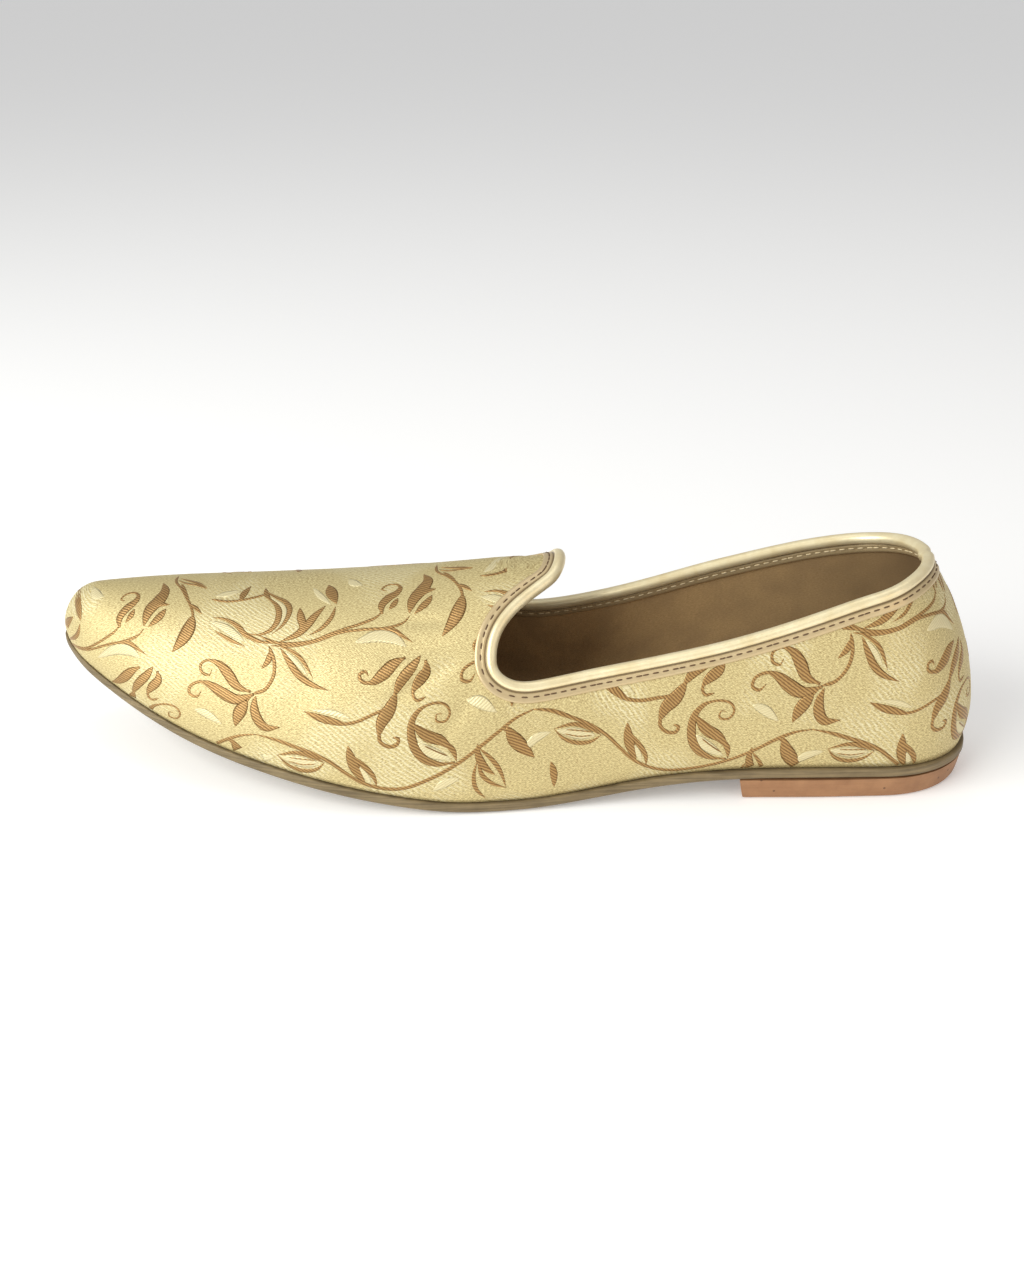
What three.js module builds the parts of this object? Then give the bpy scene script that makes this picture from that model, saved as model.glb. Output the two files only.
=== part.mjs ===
// A left mojari: a slip-on shoe of brocade with a pointed, raised toe, a tongue-shaped throat, a bound
// topline, a thin leather outsole and a low heel block.
// Millimetres, +Z up. The toe points to -X, the wearer's left (lateral) side is -Y.
// A station is the distance from the back of the heel towards the toe, along the shoe's straight axis.

import * as THREE from "three";

// ---------------------------------------------------------------- driving dimensions

const LENGTH = 292; // heel back to toe tip of the outsole
const SOLE_THICKNESS = 3;
const HEEL_HEIGHT = 7; // floor to the underside of the outsole at the heel
const HEEL_BREAST = 75; // station of the heel block's front face
const UPPER_WALL = 1.6; // brocade, canvas and lining together
const INSOLE_THICKNESS = 2.5;
const GAP = 0.3; // clearance between neighbouring pieces
const SOLE_MARGIN = 1.3; // how far the outsole's edge stands out past the upper

const THROAT = 150; // station of the front of the opening
const THROAT_TURN = 11; // length over which the topline turns up into the throat
const TONGUE_TIP = 130; // station of the tongue's rounded tip
const TONGUE_HALF_WIDTH = 12; // at the tongue's shoulders
const TONGUE_SHOULDER = 4; // tip to shoulders, along the shoe

const BINDING_WIDTH = 6.4; // how far each leg of the binding reaches down the upper
const BINDING_THICKNESS = 0.6;

// The outsole's edge in plan, either side of the axis, before its two ends are rounded.
const HEEL_ROUND = 30; // length of the rounding at the heel
const TOE_ROUND = 13; // length of the rounding at the toe
const OUTLINE = [
  { station: 0, lateral: 30, medial: 29.5 },
  { station: 25, lateral: 30, medial: 30 },
  { station: 50, lateral: 31.5, medial: 31 },
  { station: 78, lateral: 32.5, medial: 30 },
  { station: 110, lateral: 35, medial: 28 },
  { station: 142, lateral: 40.5, medial: 32 },
  { station: 162, lateral: 43, medial: 37.5 },
  { station: 180, lateral: 43.5, medial: 42.5 },
  { station: 200, lateral: 41.5, medial: 45.5 },
  { station: 222, lateral: 35.5, medial: 46 },
  { station: 248, lateral: 25, medial: 41.5 },
  { station: 270, lateral: 11.5, medial: 34 },
  { station: 292, lateral: -5, medial: 23 },
];

// The height of the outsole's underside over the floor: level under the heel and under the ball.
const RISE = [
  { station: 0, height: HEEL_HEIGHT },
  { station: 78, height: HEEL_HEIGHT },
  { station: 100, height: 5 },
  { station: 120, height: 2 },
  { station: 140, height: 0 },
  { station: 160, height: 0 },
  { station: 175, height: 1.9 },
  { station: 205, height: 6.8 },
  { station: 235, height: 12.4 },
  { station: 262, height: 20 },
  { station: 292, height: 31.5 },
];

// The last over the feather line: the height of its crest over the floor (a virtual crest over the
// opening), where the crest runs, the exponent of its cross-section, and how far each wall swells.
const LAST = [
  { station: 0, crest: 104, ridge: 0, fullness: 2.3, lateralSwell: 2.3, medialSwell: 2.3 },
  { station: 50, crest: 104, ridge: 0, fullness: 2.3, lateralSwell: 2.2, medialSwell: 2.5 },
  { station: 85, crest: 93, ridge: 0, fullness: 2.25, lateralSwell: 2, medialSwell: 4 },
  { station: 110, crest: 79, ridge: 0, fullness: 2.15, lateralSwell: 2, medialSwell: 5.5 },
  { station: 130, crest: 67.5, ridge: 0.4, fullness: 2.1, lateralSwell: 1.8, medialSwell: 5 },
  { station: 150, crest: 65, ridge: 1, fullness: 2.05, lateralSwell: 1.5, medialSwell: 3.5 },
  { station: 180, crest: 60.8, ridge: 2.2, fullness: 2, lateralSwell: 1.2, medialSwell: 1.8 },
  { station: 220, crest: 56.5, ridge: 5, fullness: 2, lateralSwell: 1, medialSwell: 1.2 },
  { station: 260, crest: 53.4, ridge: 9.8, fullness: 2, lateralSwell: 1.2, medialSwell: 1.2 },
  { station: 292, crest: 50, ridge: 14, fullness: 2, lateralSwell: 1.5, medialSwell: 1.5 },
];

// The topline's height over the floor, by the station of the feather line below it.
const TOPLINE = [
  { station: 0, lateral: 70.5, medial: 70.5 },
  { station: 10, lateral: 69.2, medial: 68.5 },
  { station: 20, lateral: 67, medial: 66.5 },
  { station: 35, lateral: 64, medial: 64.5 },
  { station: 50, lateral: 60, medial: 62 },
  { station: 80, lateral: 51.2, medial: 55.4 },
  { station: 100, lateral: 46.4, medial: 50 },
  { station: 120, lateral: 42.2, medial: 44.8 },
  { station: 139, lateral: 38.8, medial: 41 },
  { station: 150, lateral: 38.5, medial: 40.5 },
];
const THROAT_LIFT = { lateral: 7, medial: 7 }; // the rise of the topline in the throat's turn

// How finely the upper is divided.
const REAR_RIBS = 30; // heel back to throat, each side
const VAMP_RIBS = 16; // throat to the toe's shoulder, each side
const TOE_RIBS = 14; // around the toe
const WALL_ROWS = 10; // feather line to topline or vamp top
const TONGUE_ROWS = 9; // throat to tongue tip

// ---------------------------------------------------------------- curves of the last

const mix = THREE.MathUtils.lerp;
const smooth = THREE.MathUtils.smoothstep;
const clamp = THREE.MathUtils.clamp;

/** A smooth function of station through one column of a table. */
function column(rows, name) {
  const stations = rows.map((row) => row.station);
  const values = rows.map((row) => row[name]);
  const curve = new THREE.CubicInterpolant(stations, values, 1);
  return (station) => curve.evaluate(clamp(station, stations[0], stations.at(-1)))[0];
}

const rise = column(RISE, "height");
const soleBottom = (station) => Math.max(0, rise(station));
const soleTop = (station) => soleBottom(station) + SOLE_THICKNESS;
const crest = column(LAST, "crest");
const fullness = column(LAST, "fullness");
const ridge = column(LAST, "ridge");

const SIDES = {
  lateral: { sign: -1, plan: column(OUTLINE, "lateral"), swell: column(LAST, "lateralSwell") },
  medial: { sign: 1, plan: column(OUTLINE, "medial"), swell: column(LAST, "medialSwell") },
};
SIDES.lateral.topline = column(TOPLINE, "lateral");
SIDES.medial.topline = column(TOPLINE, "medial");

/** 0 at both ends of the shoe and 1 between its rounded ends, as an ellipse rounds. */
function endRounding(station, margin = 0) {
  const fromHeel = clamp((station - margin) / (HEEL_ROUND - margin), 0, 1);
  const fromToe = clamp((LENGTH - margin - station) / (TOE_ROUND - margin), 0, 1);
  return Math.sqrt(1 - (1 - fromHeel) ** 2) * Math.sqrt(1 - (1 - fromToe) ** 2);
}

/** The y of the middle and the half-width of the outsole, drawn in by a margin all round. */
function planSection(station, margin = 0) {
  const lateral = SIDES.lateral.plan(station);
  const medial = SIDES.medial.plan(station);
  const halfWidth = (lateral + medial) / 2 - margin;
  return { middle: (medial - lateral) / 2, halfWidth: halfWidth * endRounding(station, margin) };
}

/** Divides the rear of a side: the ribs stand close together at the heel and closest at the throat. */
const closeAtThroat = (share) => mix(1 - Math.pow(1 - share, 1.6), smooth(share, 0, 1), 0.5);

/** One side of the outline in plan as points, from the heel back towards the toe tip. */
function sideOutline(side, margin, from, to, count, spacing = (share) => share) {
  const fine = [];
  const steps = 600;
  for (let i = 0; i <= steps; i++) {
    const share = (1 - Math.cos((Math.PI * i) / steps)) / 2;
    const station = mix(margin, LENGTH - margin, share);
    const { middle, halfWidth } = planSection(station, margin);
    fine.push(new THREE.Vector3(station, middle + side.sign * halfWidth, 0));
  }
  const lengths = [0];
  fine.slice(1).forEach((point, i) => lengths.push(lengths[i] + point.distanceTo(fine[i])));
  const lengthAt = (station) => {
    const i = clamp(fine.findIndex((point) => point.x >= station), 1, steps);
    const share = (station - fine[i - 1].x) / (fine[i].x - fine[i - 1].x);
    return mix(lengths[i - 1], lengths[i], share);
  };
  const start = from === undefined ? 0 : lengthAt(from);
  const end = to === undefined ? lengths[steps] : lengthAt(to);
  return Array.from({ length: count + 1 }, (_, k) => {
    const wanted = mix(start, end, spacing(k / count));
    const i = clamp(lengths.findIndex((length) => length >= wanted), 1, steps);
    const share = (wanted - lengths[i - 1]) / (lengths[i] - lengths[i - 1]);
    return fine[i - 1].clone().lerp(fine[i], share);
  });
}

const at = (station, y, z) => new THREE.Vector3(LENGTH / 2 - station, y, z);
const featherHeight = (station) => soleTop(station) + GAP;

// ---------------------------------------------------------------- the upper's outer surface

const FEATHER = SOLE_MARGIN; // the feather line's margin inside the outsole's edge
const HEEL_SPINE = 95; // the ribs of the heel lean towards this station
const TOE_FAN = 26; // how far back of the tip the toe's ribs converge
const TOE_FAN_START = 222;

/** How far a wall swells outwards at a share of its height: most near its foot. */
const swellAt = (share) => Math.sin(Math.PI * Math.pow(clamp(share, 0, 1), 0.43));

/** The height of the vamp at a place in plan. */
function vampHeight(station, y) {
  const { middle, halfWidth } = planSection(station, FEATHER);
  const power = fullness(station);
  const fromTip = clamp((LENGTH - FEATHER - station) / 11, 0, 1);
  const toeRoundness = Math.pow(1 - (1 - fromTip) ** 2.3, 1 / 2.3);
  const height = (crest(station) - featherHeight(station)) * toeRoundness;
  const fromRidge = y - ridge(station);
  const reach = halfWidth + Math.sign(fromRidge) * (middle - ridge(station));
  const across = clamp(Math.abs(fromRidge) / Math.max(reach, 1e-6), 0, 1);
  return featherHeight(station) + height * Math.pow(1 - Math.pow(across, power), 1 / power);
}

/** The topline's height above a station of the feather line, with its turn up into the throat. */
function toplineHeight(sideName, station) {
  const turn = clamp((station - (THROAT - THROAT_TURN)) / THROAT_TURN, 0, 1);
  const lift = THROAT_LIFT[sideName] * (1 - Math.sqrt(1 - turn * turn));
  return SIDES[sideName].topline(station) + lift;
}

/** A rib of the rear wall: from the feather line up to the topline. */
function rearRib(sideName, foot) {
  const side = SIDES[sideName];
  const base = featherHeight(foot.x);
  const power = fullness(foot.x);
  const fullHeight = crest(foot.x) - base;
  const share = (toplineHeight(sideName, foot.x) - base) / fullHeight;
  const endAngle = Math.asin(Math.pow(share, power / 2));
  const spineStation = foot.x + Math.max(0, HEEL_SPINE - foot.x) * (1 - smooth(foot.x, 0, 92) ** 2);
  const spine = new THREE.Vector3(spineStation, ridge(spineStation), 0);
  const outwards = foot.clone().sub(spine).setZ(0).normalize();
  return Array.from({ length: WALL_ROWS + 1 }, (_, row) => {
    const angle = (endAngle * row) / WALL_ROWS;
    const inward = 1 - Math.pow(Math.cos(angle), 2 / power);
    const up = Math.pow(Math.sin(angle), 2 / power);
    const plan = foot.clone().lerp(spine, inward);
    plan.addScaledVector(outwards, side.swell(foot.x) * swellAt(up / share));
    return at(plan.x, plan.y, base + fullHeight * up);
  });
}

/** A rib of the vamp or toe: from the feather line in to the edge of the vamp's top. */
function vampRib(side, foot, reach) {
  const fan = TOE_FAN * smooth(foot.x, TOE_FAN_START, LENGTH - FEATHER);
  const centre = new THREE.Vector3(foot.x - fan, ridge(foot.x - fan), 0);
  const outwards = foot.clone().sub(centre).normalize();
  const base = featherHeight(foot.x);
  const end = foot.clone().lerp(centre, 1 - reach);
  const wallHeight = vampHeight(end.x, end.y) - base;
  return Array.from({ length: WALL_ROWS + 1 }, (_, row) => {
    const inward = (1 - reach) * (1 - Math.cos(((Math.PI / 2) * row) / WALL_ROWS));
    const plan = foot.clone().lerp(centre, inward);
    const z = vampHeight(plan.x, plan.y);
    plan.addScaledVector(outwards, side.swell(foot.x) * swellAt((z - base) / wallHeight));
    return at(plan.x, plan.y, z);
  });
}

/** The share of the half-width that is left outside the throat's corner. */
function throatReach(sideName) {
  const power = fullness(THROAT);
  const base = featherHeight(THROAT);
  const share = (toplineHeight(sideName, THROAT) - base) / (crest(THROAT) - base);
  return Math.pow(1 - Math.pow(share, power), 1 / power);
}

/** The outer surface: ribs around the shoe, and the vamp's top as rows from toe to tongue tip. */
function upperSurface() {
  const points = [];
  const add = (point) => points.push(point) - 1;
  const toeShoulder = LENGTH - 27;
  const rear = {};
  const vamp = {};
  const toe = {};
  for (const [name, side] of Object.entries(SIDES)) {
    rear[name] = sideOutline(side, FEATHER, undefined, THROAT, REAR_RIBS, closeAtThroat).map(
      (foot) => rearRib(name, foot),
    );
    const reachAt = (station) => {
      const progress = smooth(station, THROAT, LENGTH - 10);
      return mix(throatReach(name), 0.5, progress);
    };
    const front = (from, to, count) =>
      sideOutline(side, FEATHER, from, to, count).map((foot) =>
        vampRib(side, foot, reachAt(foot.x)),
      );
    vamp[name] = front(THROAT, toeShoulder, VAMP_RIBS).slice(1);
    toe[name] = front(toeShoulder, undefined, TOE_RIBS / 2).slice(1);
  }
  const ribs = [
    ...rear.lateral,
    ...vamp.lateral,
    ...toe.lateral,
    ...toe.medial.slice(0, -1).reverse(),
    ...vamp.medial.slice().reverse(),
    ...rear.medial.slice(1).reverse(),
  ].map((rib) => rib.map(add));

  const corner = REAR_RIBS + VAMP_RIBS; // the rib at the toe's lateral shoulder
  const topRows = VAMP_RIBS + TONGUE_ROWS;
  const edgeOf = (sideName) => tongueEdge(sideName, points[topOf(sideName, VAMP_RIBS)]);
  const topOf = (sideName, row) => {
    const rib = sideName === "lateral" ? corner - row : corner + TOE_RIBS + row;
    return ribs[rib].at(-1);
  };
  const left = edgeOf("lateral");
  const right = edgeOf("medial");
  const tip = tongueTip(left.at(-1), right.at(-1));
  const border = (row, col) => {
    if (row === 0) return points[ribs[corner + col].at(-1)];
    if (row === topRows) return tip[col];
    const name = col === 0 ? "lateral" : "medial";
    if (row <= VAMP_RIBS) return points[topOf(name, row)];
    return (col === 0 ? left : right)[row - VAMP_RIBS];
  };
  const top = [];
  for (let row = 0; row <= topRows; row++) {
    top.push([]);
    for (let col = 0; col <= TOE_RIBS; col++) {
      const shared = row === 0 || ((col === 0 || col === TOE_RIBS) && row <= VAMP_RIBS);
      if (row === 0) top[0].push(ribs[corner + col].at(-1));
      else if (shared) top[row].push(topOf(col === 0 ? "lateral" : "medial", row));
      else top[row].push(add(vampPoint(border, row / topRows, col / TOE_RIBS, row, col, topRows)));
    }
  }
  return { points, ribs, top, corner };
}

/** One edge of the tongue in plan, from the throat's corner to the tongue's shoulder. */
function tongueEdge(sideName, cornerPoint) {
  const sign = SIDES[sideName].sign;
  const start = new THREE.Vector3(LENGTH / 2 - cornerPoint.x, cornerPoint.y, 0);
  const ridgeY = ridge(TONGUE_TIP);
  const shoulderY = ridgeY + sign * TONGUE_HALF_WIDTH;
  const shoulder = new THREE.Vector3(TONGUE_TIP + TONGUE_SHOULDER, shoulderY, 0);
  const curve = new THREE.CubicBezierCurve3(
    start,
    new THREE.Vector3(start.x + 1, mix(start.y, shoulder.y, 0.35), 0),
    new THREE.Vector3(mix(start.x, shoulder.x, 0.6), mix(start.y, shoulder.y, 0.72), 0),
    shoulder,
  );
  return curve.getSpacedPoints(TONGUE_ROWS).map((p) => at(p.x, p.y, vampHeight(p.x, p.y)));
}

/** The tongue's rounded end in plan, from its lateral to its medial shoulder. */
function tongueTip(from, to) {
  const plan = (point) => new THREE.Vector3(LENGTH / 2 - point.x, point.y, 0);
  const pull = TONGUE_TIP - TONGUE_SHOULDER * 0.42;
  const curve = new THREE.CubicBezierCurve3(
    plan(from),
    new THREE.Vector3(pull, mix(ridge(pull), from.y, 0.75), 0),
    new THREE.Vector3(pull, mix(ridge(pull), to.y, 0.75), 0),
    plan(to),
  );
  return curve.getSpacedPoints(TOE_RIBS).map((p) => at(p.x, p.y, vampHeight(p.x, p.y)));
}

/** A point inside the vamp's top: blended in plan from its four borders, lifted to the surface. */
function vampPoint(border, along, across, row, col, topRows) {
  if (row === topRows || col === 0 || col === TOE_RIBS) return border(row, col);
  const cols = TOE_RIBS;
  const blended = new THREE.Vector3()
    .addScaledVector(border(row, 0), 1 - across)
    .addScaledVector(border(row, cols), across)
    .addScaledVector(border(0, col), 1 - along)
    .addScaledVector(border(topRows, col), along)
    .addScaledVector(border(0, 0), -(1 - along) * (1 - across))
    .addScaledVector(border(0, cols), -(1 - along) * across)
    .addScaledVector(border(topRows, 0), -along * (1 - across))
    .addScaledVector(border(topRows, cols), -along * across);
  const station = LENGTH / 2 - blended.x;
  return at(station, blended.y, vampHeight(station, blended.y));
}

/** The quads of the outer surface, counter-clockwise from outside. */
function surfaceQuads({ ribs, top }) {
  const quads = [];
  ribs.forEach((rib, i) => {
    const next = ribs[(i + 1) % ribs.length];
    for (let row = 0; row < WALL_ROWS; row++) {
      quads.push([rib[row], rib[row + 1], next[row + 1], next[row]]);
    }
  });
  for (let row = 0; row + 1 < top.length; row++) {
    for (let col = 0; col < TOE_RIBS; col++) {
      quads.push([top[row][col], top[row + 1][col], top[row + 1][col + 1], top[row][col + 1]]);
    }
  }
  return quads;
}

/** The opening's edge as point indices: up one side from the throat, round the heel, and the tongue. */
function openingLoop({ ribs, top, corner }) {
  const lateralRear = ribs.slice(0, REAR_RIBS + 1).reverse();
  const medialRear = ribs.slice(corner + TOE_RIBS + VAMP_RIBS).reverse();
  const tongueRows = top.slice(VAMP_RIBS + 1);
  return [
    ...lateralRear.map((rib) => rib.at(-1)),
    ...medialRear.map((rib) => rib.at(-1)),
    ...tongueRows.map((row) => row.at(-1)),
    ...top.at(-1).slice(1, -1).reverse(),
    ...tongueRows.map((row) => row[0]).reverse(),
  ];
}

// ---------------------------------------------------------------- solids from points and faces

/** A closed geometry from points and polygons of three or four corners. */
function solid(points, faces) {
  const index = faces.flatMap((face) => {
    if (face.length === 3) return face;
    const [a, b, c, d] = face;
    const short = points[a].distanceTo(points[c]) <= points[b].distanceTo(points[d]);
    return short ? [a, b, c, a, c, d] : [a, b, d, b, c, d];
  });
  const geometry = new THREE.BufferGeometry().setFromPoints(points);
  geometry.setIndex(index);
  geometry.computeVertexNormals();
  return geometry;
}

/** The normals of a set of points that the quads join. */
function normalsOf(points, quads) {
  const normals = solid(points, quads).getAttribute("normal");
  return points.map((_, i) => new THREE.Vector3().fromBufferAttribute(normals, i));
}

/** A stack of closed loops with the same number of points, joined ring to ring and capped. */
function loftLoops(loops, capFaces) {
  const count = loops[0].length;
  const faces = [];
  for (let ring = 0; ring + 1 < loops.length; ring++) {
    for (let i = 0; i < count; i++) {
      const next = (i + 1) % count;
      const low = ring * count;
      const high = low + count;
      faces.push([low + i, high + i, high + next, low + next]);
    }
  }
  const top = (loops.length - 1) * count;
  capFaces.forEach((face) => {
    faces.push(face);
    faces.push(face.map((i) => i + top).reverse());
  });
  return solid(loops.flat(), faces);
}

// ---------------------------------------------------------------- the pieces

const surface = upperSurface();
const outerQuads = surfaceQuads(surface);
const outerNormals = normalsOf(surface.points, outerQuads);
const opening = openingLoop(surface);
const featherLoop = surface.ribs.map((rib) => rib[0]);

function upperGeometry() {
  const count = surface.points.length;
  const onFeather = new Set(featherLoop);
  const inner = surface.points.map((point, i) => {
    const inwards = outerNormals[i].clone().negate();
    if (onFeather.has(i)) inwards.setZ(0).normalize();
    return point.clone().addScaledVector(inwards, UPPER_WALL);
  });
  const faces = [...outerQuads, ...outerQuads.map((quad) => quad.map((i) => i + count).reverse())];
  const rim = (loop) =>
    loop.forEach((a, k) => {
      const b = loop[(k + 1) % loop.length];
      faces.push([a, b, b + count, a + count]);
    });
  rim(featherLoop);
  rim(opening);
  return solid([...surface.points, ...inner], faces);
}

/** The folded strip round the opening: a U in section, its legs on both faces of the upper. */
function bindingGeometry() {
  const skin = new THREE.Mesh(solid(surface.points, outerQuads));
  skin.material.side = THREE.DoubleSide;
  const caster = new THREE.Raycaster();
  const drop = (point, normal) => {
    caster.set(point.clone().addScaledVector(normal, 8), normal.clone().negate());
    const hit = caster.intersectObject(skin)[0];
    return hit ? hit.point : point;
  };
  const clear = GAP + 0.05;
  const proud = clear + BINDING_THICKNESS;
  const loops = opening.map((index, k) => {
    const edge = surface.points[index];
    const normal = outerNormals[index];
    const before = surface.points[opening.at(k - 1)];
    const after = surface.points[opening[(k + 1) % opening.length]];
    const along = after.clone().sub(before).normalize();
    const down = along.clone().cross(normal).normalize();
    const leg = [0, 0.5, 1].map((share) =>
      share ? drop(edge.clone().addScaledVector(down, BINDING_WIDTH * share), normal) : edge,
    );
    const lift = (point, amount) => point.clone().addScaledVector(normal, amount);
    const over = (amount, height) => lift(edge, amount).addScaledVector(down, -height);
    const middle = -UPPER_WALL / 2;
    const outside = leg.map((point) => lift(point, proud)).reverse();
    const inside = leg.map((point) => lift(point, -UPPER_WALL - proud));
    const insideBack = leg.map((point) => lift(point, -UPPER_WALL - clear)).reverse();
    const outsideBack = leg.map((point) => lift(point, clear));
    const crown = [over(middle + 1, proud), over(middle - 1, proud)];
    return [...outside, ...crown, ...inside, ...insideBack, over(middle, clear), ...outsideBack];
  });
  const count = loops[0].length;
  const faces = [];
  loops.forEach((_, ring) => {
    const low = ring * count;
    const high = ((ring + 1) % loops.length) * count;
    for (let i = 0; i < count; i++) {
      const next = (i + 1) % count;
      faces.push([low + i, high + i, high + next, low + next]);
    }
  });
  return solid(loops.flat(), faces);
}

/** The outline in plan as a closed loop, and the strips that fill it from side to side. */
function planLoop(margin, stations) {
  const pairs = stations.map((station) => planSection(station, margin));
  const lateral = stations.map((s, i) => [s, pairs[i].middle - pairs[i].halfWidth]);
  const medial = stations.map((s, i) => [s, pairs[i].middle + pairs[i].halfWidth]);
  return [...lateral, ...medial.slice(1, -1).reverse()];
}

function stripFaces(stationCount) {
  const total = 2 * stationCount - 2;
  const lateral = (i) => i;
  const medial = (i) => (total - i) % total;
  const faces = [[lateral(0), lateral(1), medial(1)]];
  for (let i = 1; i + 2 < stationCount; i++) {
    faces.push([lateral(i), lateral(i + 1), medial(i + 1), medial(i)]);
  }
  faces.push([lateral(stationCount - 2), lateral(stationCount - 1), medial(stationCount - 2)]);
  return faces;
}

/** Stations close together at both rounded ends. */
function endSpaced(from, to, count) {
  return Array.from({ length: count + 1 }, (_, i) => {
    const even = i / count;
    const eased = (1 - Math.cos(Math.PI * even)) / 2;
    return mix(from, to, mix(even, eased, 0.85));
  });
}

/** A plate that follows the sole's curve: its loops are given as margin and height over the underside. */
function soleLayer(count, profile) {
  const loops = profile.map(({ margin, over }) => {
    const stations = endSpaced(margin, LENGTH - margin, count);
    return planLoop(margin, stations).map(([station, y]) =>
      at(station, y, soleBottom(station) + over),
    );
  });
  return loftLoops(loops, stripFaces(count + 1));
}

const OUTSOLE_PROFILE = [
  { margin: 0.7, over: 0 },
  { margin: 0, over: 0.7 },
  { margin: 0, over: SOLE_THICKNESS - 0.4 },
  { margin: 0.4, over: SOLE_THICKNESS },
];

const insoleMargin = FEATHER + UPPER_WALL + GAP + 0.3;
const insoleBase = SOLE_THICKNESS + GAP;
const INSOLE_PROFILE = [
  { margin: insoleMargin, over: insoleBase },
  { margin: insoleMargin, over: insoleBase + INSOLE_THICKNESS - 0.6 },
  { margin: insoleMargin + 0.6, over: insoleBase + INSOLE_THICKNESS },
];

/** The heel block: the heel's outline up to a slightly hollow breast, drawn in towards the floor. */
function heelGeometry() {
  const count = 22;
  const levels = [
    { margin: 2, z: 0 },
    { margin: 1.6, z: 0.5 },
    { margin: 0.5, z: HEEL_HEIGHT - GAP },
  ];
  const loops = levels.map(({ margin, z }) => {
    const stations = Array.from({ length: count + 1 }, (_, i) => {
      const share = 1 - Math.cos(((Math.PI / 2) * i) / count);
      return mix(margin, HEEL_BREAST - margin, share);
    });
    const sides = stations.map((station) => planSection(station, margin));
    const lateral = stations.map((s, i) => at(s, sides[i].middle - sides[i].halfWidth, z));
    const medial = stations.map((s, i) => at(s, sides[i].middle + sides[i].halfWidth, z));
    const breast = 6;
    const hollow = Array.from({ length: breast - 1 }, (_, i) => {
      const share = (i + 1) / breast;
      const point = lateral.at(-1).clone().lerp(medial.at(-1), share);
      point.x += 2.5 * Math.sin(Math.PI * share);
      return point;
    });
    return [...lateral, ...hollow, ...medial.slice(1).reverse()];
  });
  const outline = loops[0].map((point) => new THREE.Vector2(point.x, point.y));
  const caps = THREE.ShapeUtils.triangulateShape(outline, []);
  const facesUp = THREE.ShapeUtils.area(caps[0].map((i) => outline[i])) > 0;
  return loftLoops(loops, facesUp ? caps.map((face) => face.reverse()) : caps);
}

// ---------------------------------------------------------------- assembly

const MATERIALS = {
  brocade: { color: 0xe6d28c, roughness: 0.5, metalness: 0.35 },
  binding: { color: 0xe3cf9a, roughness: 0.4, metalness: 0.3 },
  soleLeather: { color: 0x9a8a62, roughness: 0.7, metalness: 0 },
  heelLeather: { color: 0xc8915c, roughness: 0.55, metalness: 0 },
  insoleCloth: { color: 0xa98f63, roughness: 0.85, metalness: 0 },
};

function piece(name, geometry, material) {
  const mesh = new THREE.Mesh(geometry, new THREE.MeshStandardMaterial(MATERIALS[material]));
  mesh.name = name;
  return mesh;
}

const shoe = new THREE.Group();
shoe.name = "mojari_left";
shoe.add(
  piece("upper", upperGeometry(), "brocade"),
  piece("collar_binding", bindingGeometry(), "binding"),
  piece("outsole", soleLayer(44, OUTSOLE_PROFILE), "soleLeather"),
  piece("heel_block", heelGeometry(), "heelLeather"),
  piece("insole", soleLayer(36, INSOLE_PROFILE), "insoleCloth"),
);

// The origin is under the middle of the shoe's bounding box, on the floor.
const box = new THREE.Box3().setFromObject(shoe, true);
const middle = box.getCenter(new THREE.Vector3());
shoe.position.set(-middle.x, -middle.y, -box.min.z);

export default shoe;
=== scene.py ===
# %% [markdown]
# # A brocade mojari, from its CAD frame to its finish
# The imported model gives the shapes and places. This lesson dresses it: cloth with a woven vine, a folded
# binding with its stitches, a lining, a leather sole and a low heel. The frame is loaded first.

# %% Load the frame
import heapq
import math

import bmesh
import bpy
import numpy as np
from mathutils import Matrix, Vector
from mathutils.bvhtree import BVHTree


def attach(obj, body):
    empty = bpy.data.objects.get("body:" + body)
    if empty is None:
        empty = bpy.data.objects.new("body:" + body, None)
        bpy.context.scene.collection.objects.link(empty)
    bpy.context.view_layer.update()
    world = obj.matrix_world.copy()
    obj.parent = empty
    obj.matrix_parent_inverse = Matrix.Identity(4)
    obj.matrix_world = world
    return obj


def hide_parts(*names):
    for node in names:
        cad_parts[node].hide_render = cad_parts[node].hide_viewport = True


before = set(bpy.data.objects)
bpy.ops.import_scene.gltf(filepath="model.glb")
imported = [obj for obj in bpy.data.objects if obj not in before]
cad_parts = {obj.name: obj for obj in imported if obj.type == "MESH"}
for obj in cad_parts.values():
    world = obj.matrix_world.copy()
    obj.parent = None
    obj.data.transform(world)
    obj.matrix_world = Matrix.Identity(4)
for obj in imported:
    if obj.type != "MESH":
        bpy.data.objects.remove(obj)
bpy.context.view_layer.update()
MM = 0.001
SHEET = 100.0  # millimetres of cloth to one unit of the cloth map
scene = bpy.context.scene
print("CAD nodes:", sorted(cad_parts))

# %% [markdown]
# ## Camera, floor and light
# The camera looks down on the outer side of the shoe from half a metre away, with its toe to the left. So
# close, the near side looks a little larger. The colours are shown plainly, with no film curve.

# %% Camera
CAMERA_PLACE = (0.01246, -0.45420, 0.24971)
CAMERA_TILT = 65.0
CAMERA_TURN = 1.5
CAMERA_LENS = 44.41


def add_camera():
    data = bpy.data.cameras.new("camera")
    data.lens = CAMERA_LENS
    data.sensor_width = 36.0
    data.clip_start = 0.01
    camera = bpy.data.objects.new("camera", data)
    camera.location = CAMERA_PLACE
    camera.rotation_euler = (math.radians(CAMERA_TILT), 0, math.radians(CAMERA_TURN))
    scene.collection.objects.link(camera)
    scene.camera = camera
    scene.view_settings.view_transform = "Standard"
    print("camera at", CAMERA_PLACE)


add_camera()


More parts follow.
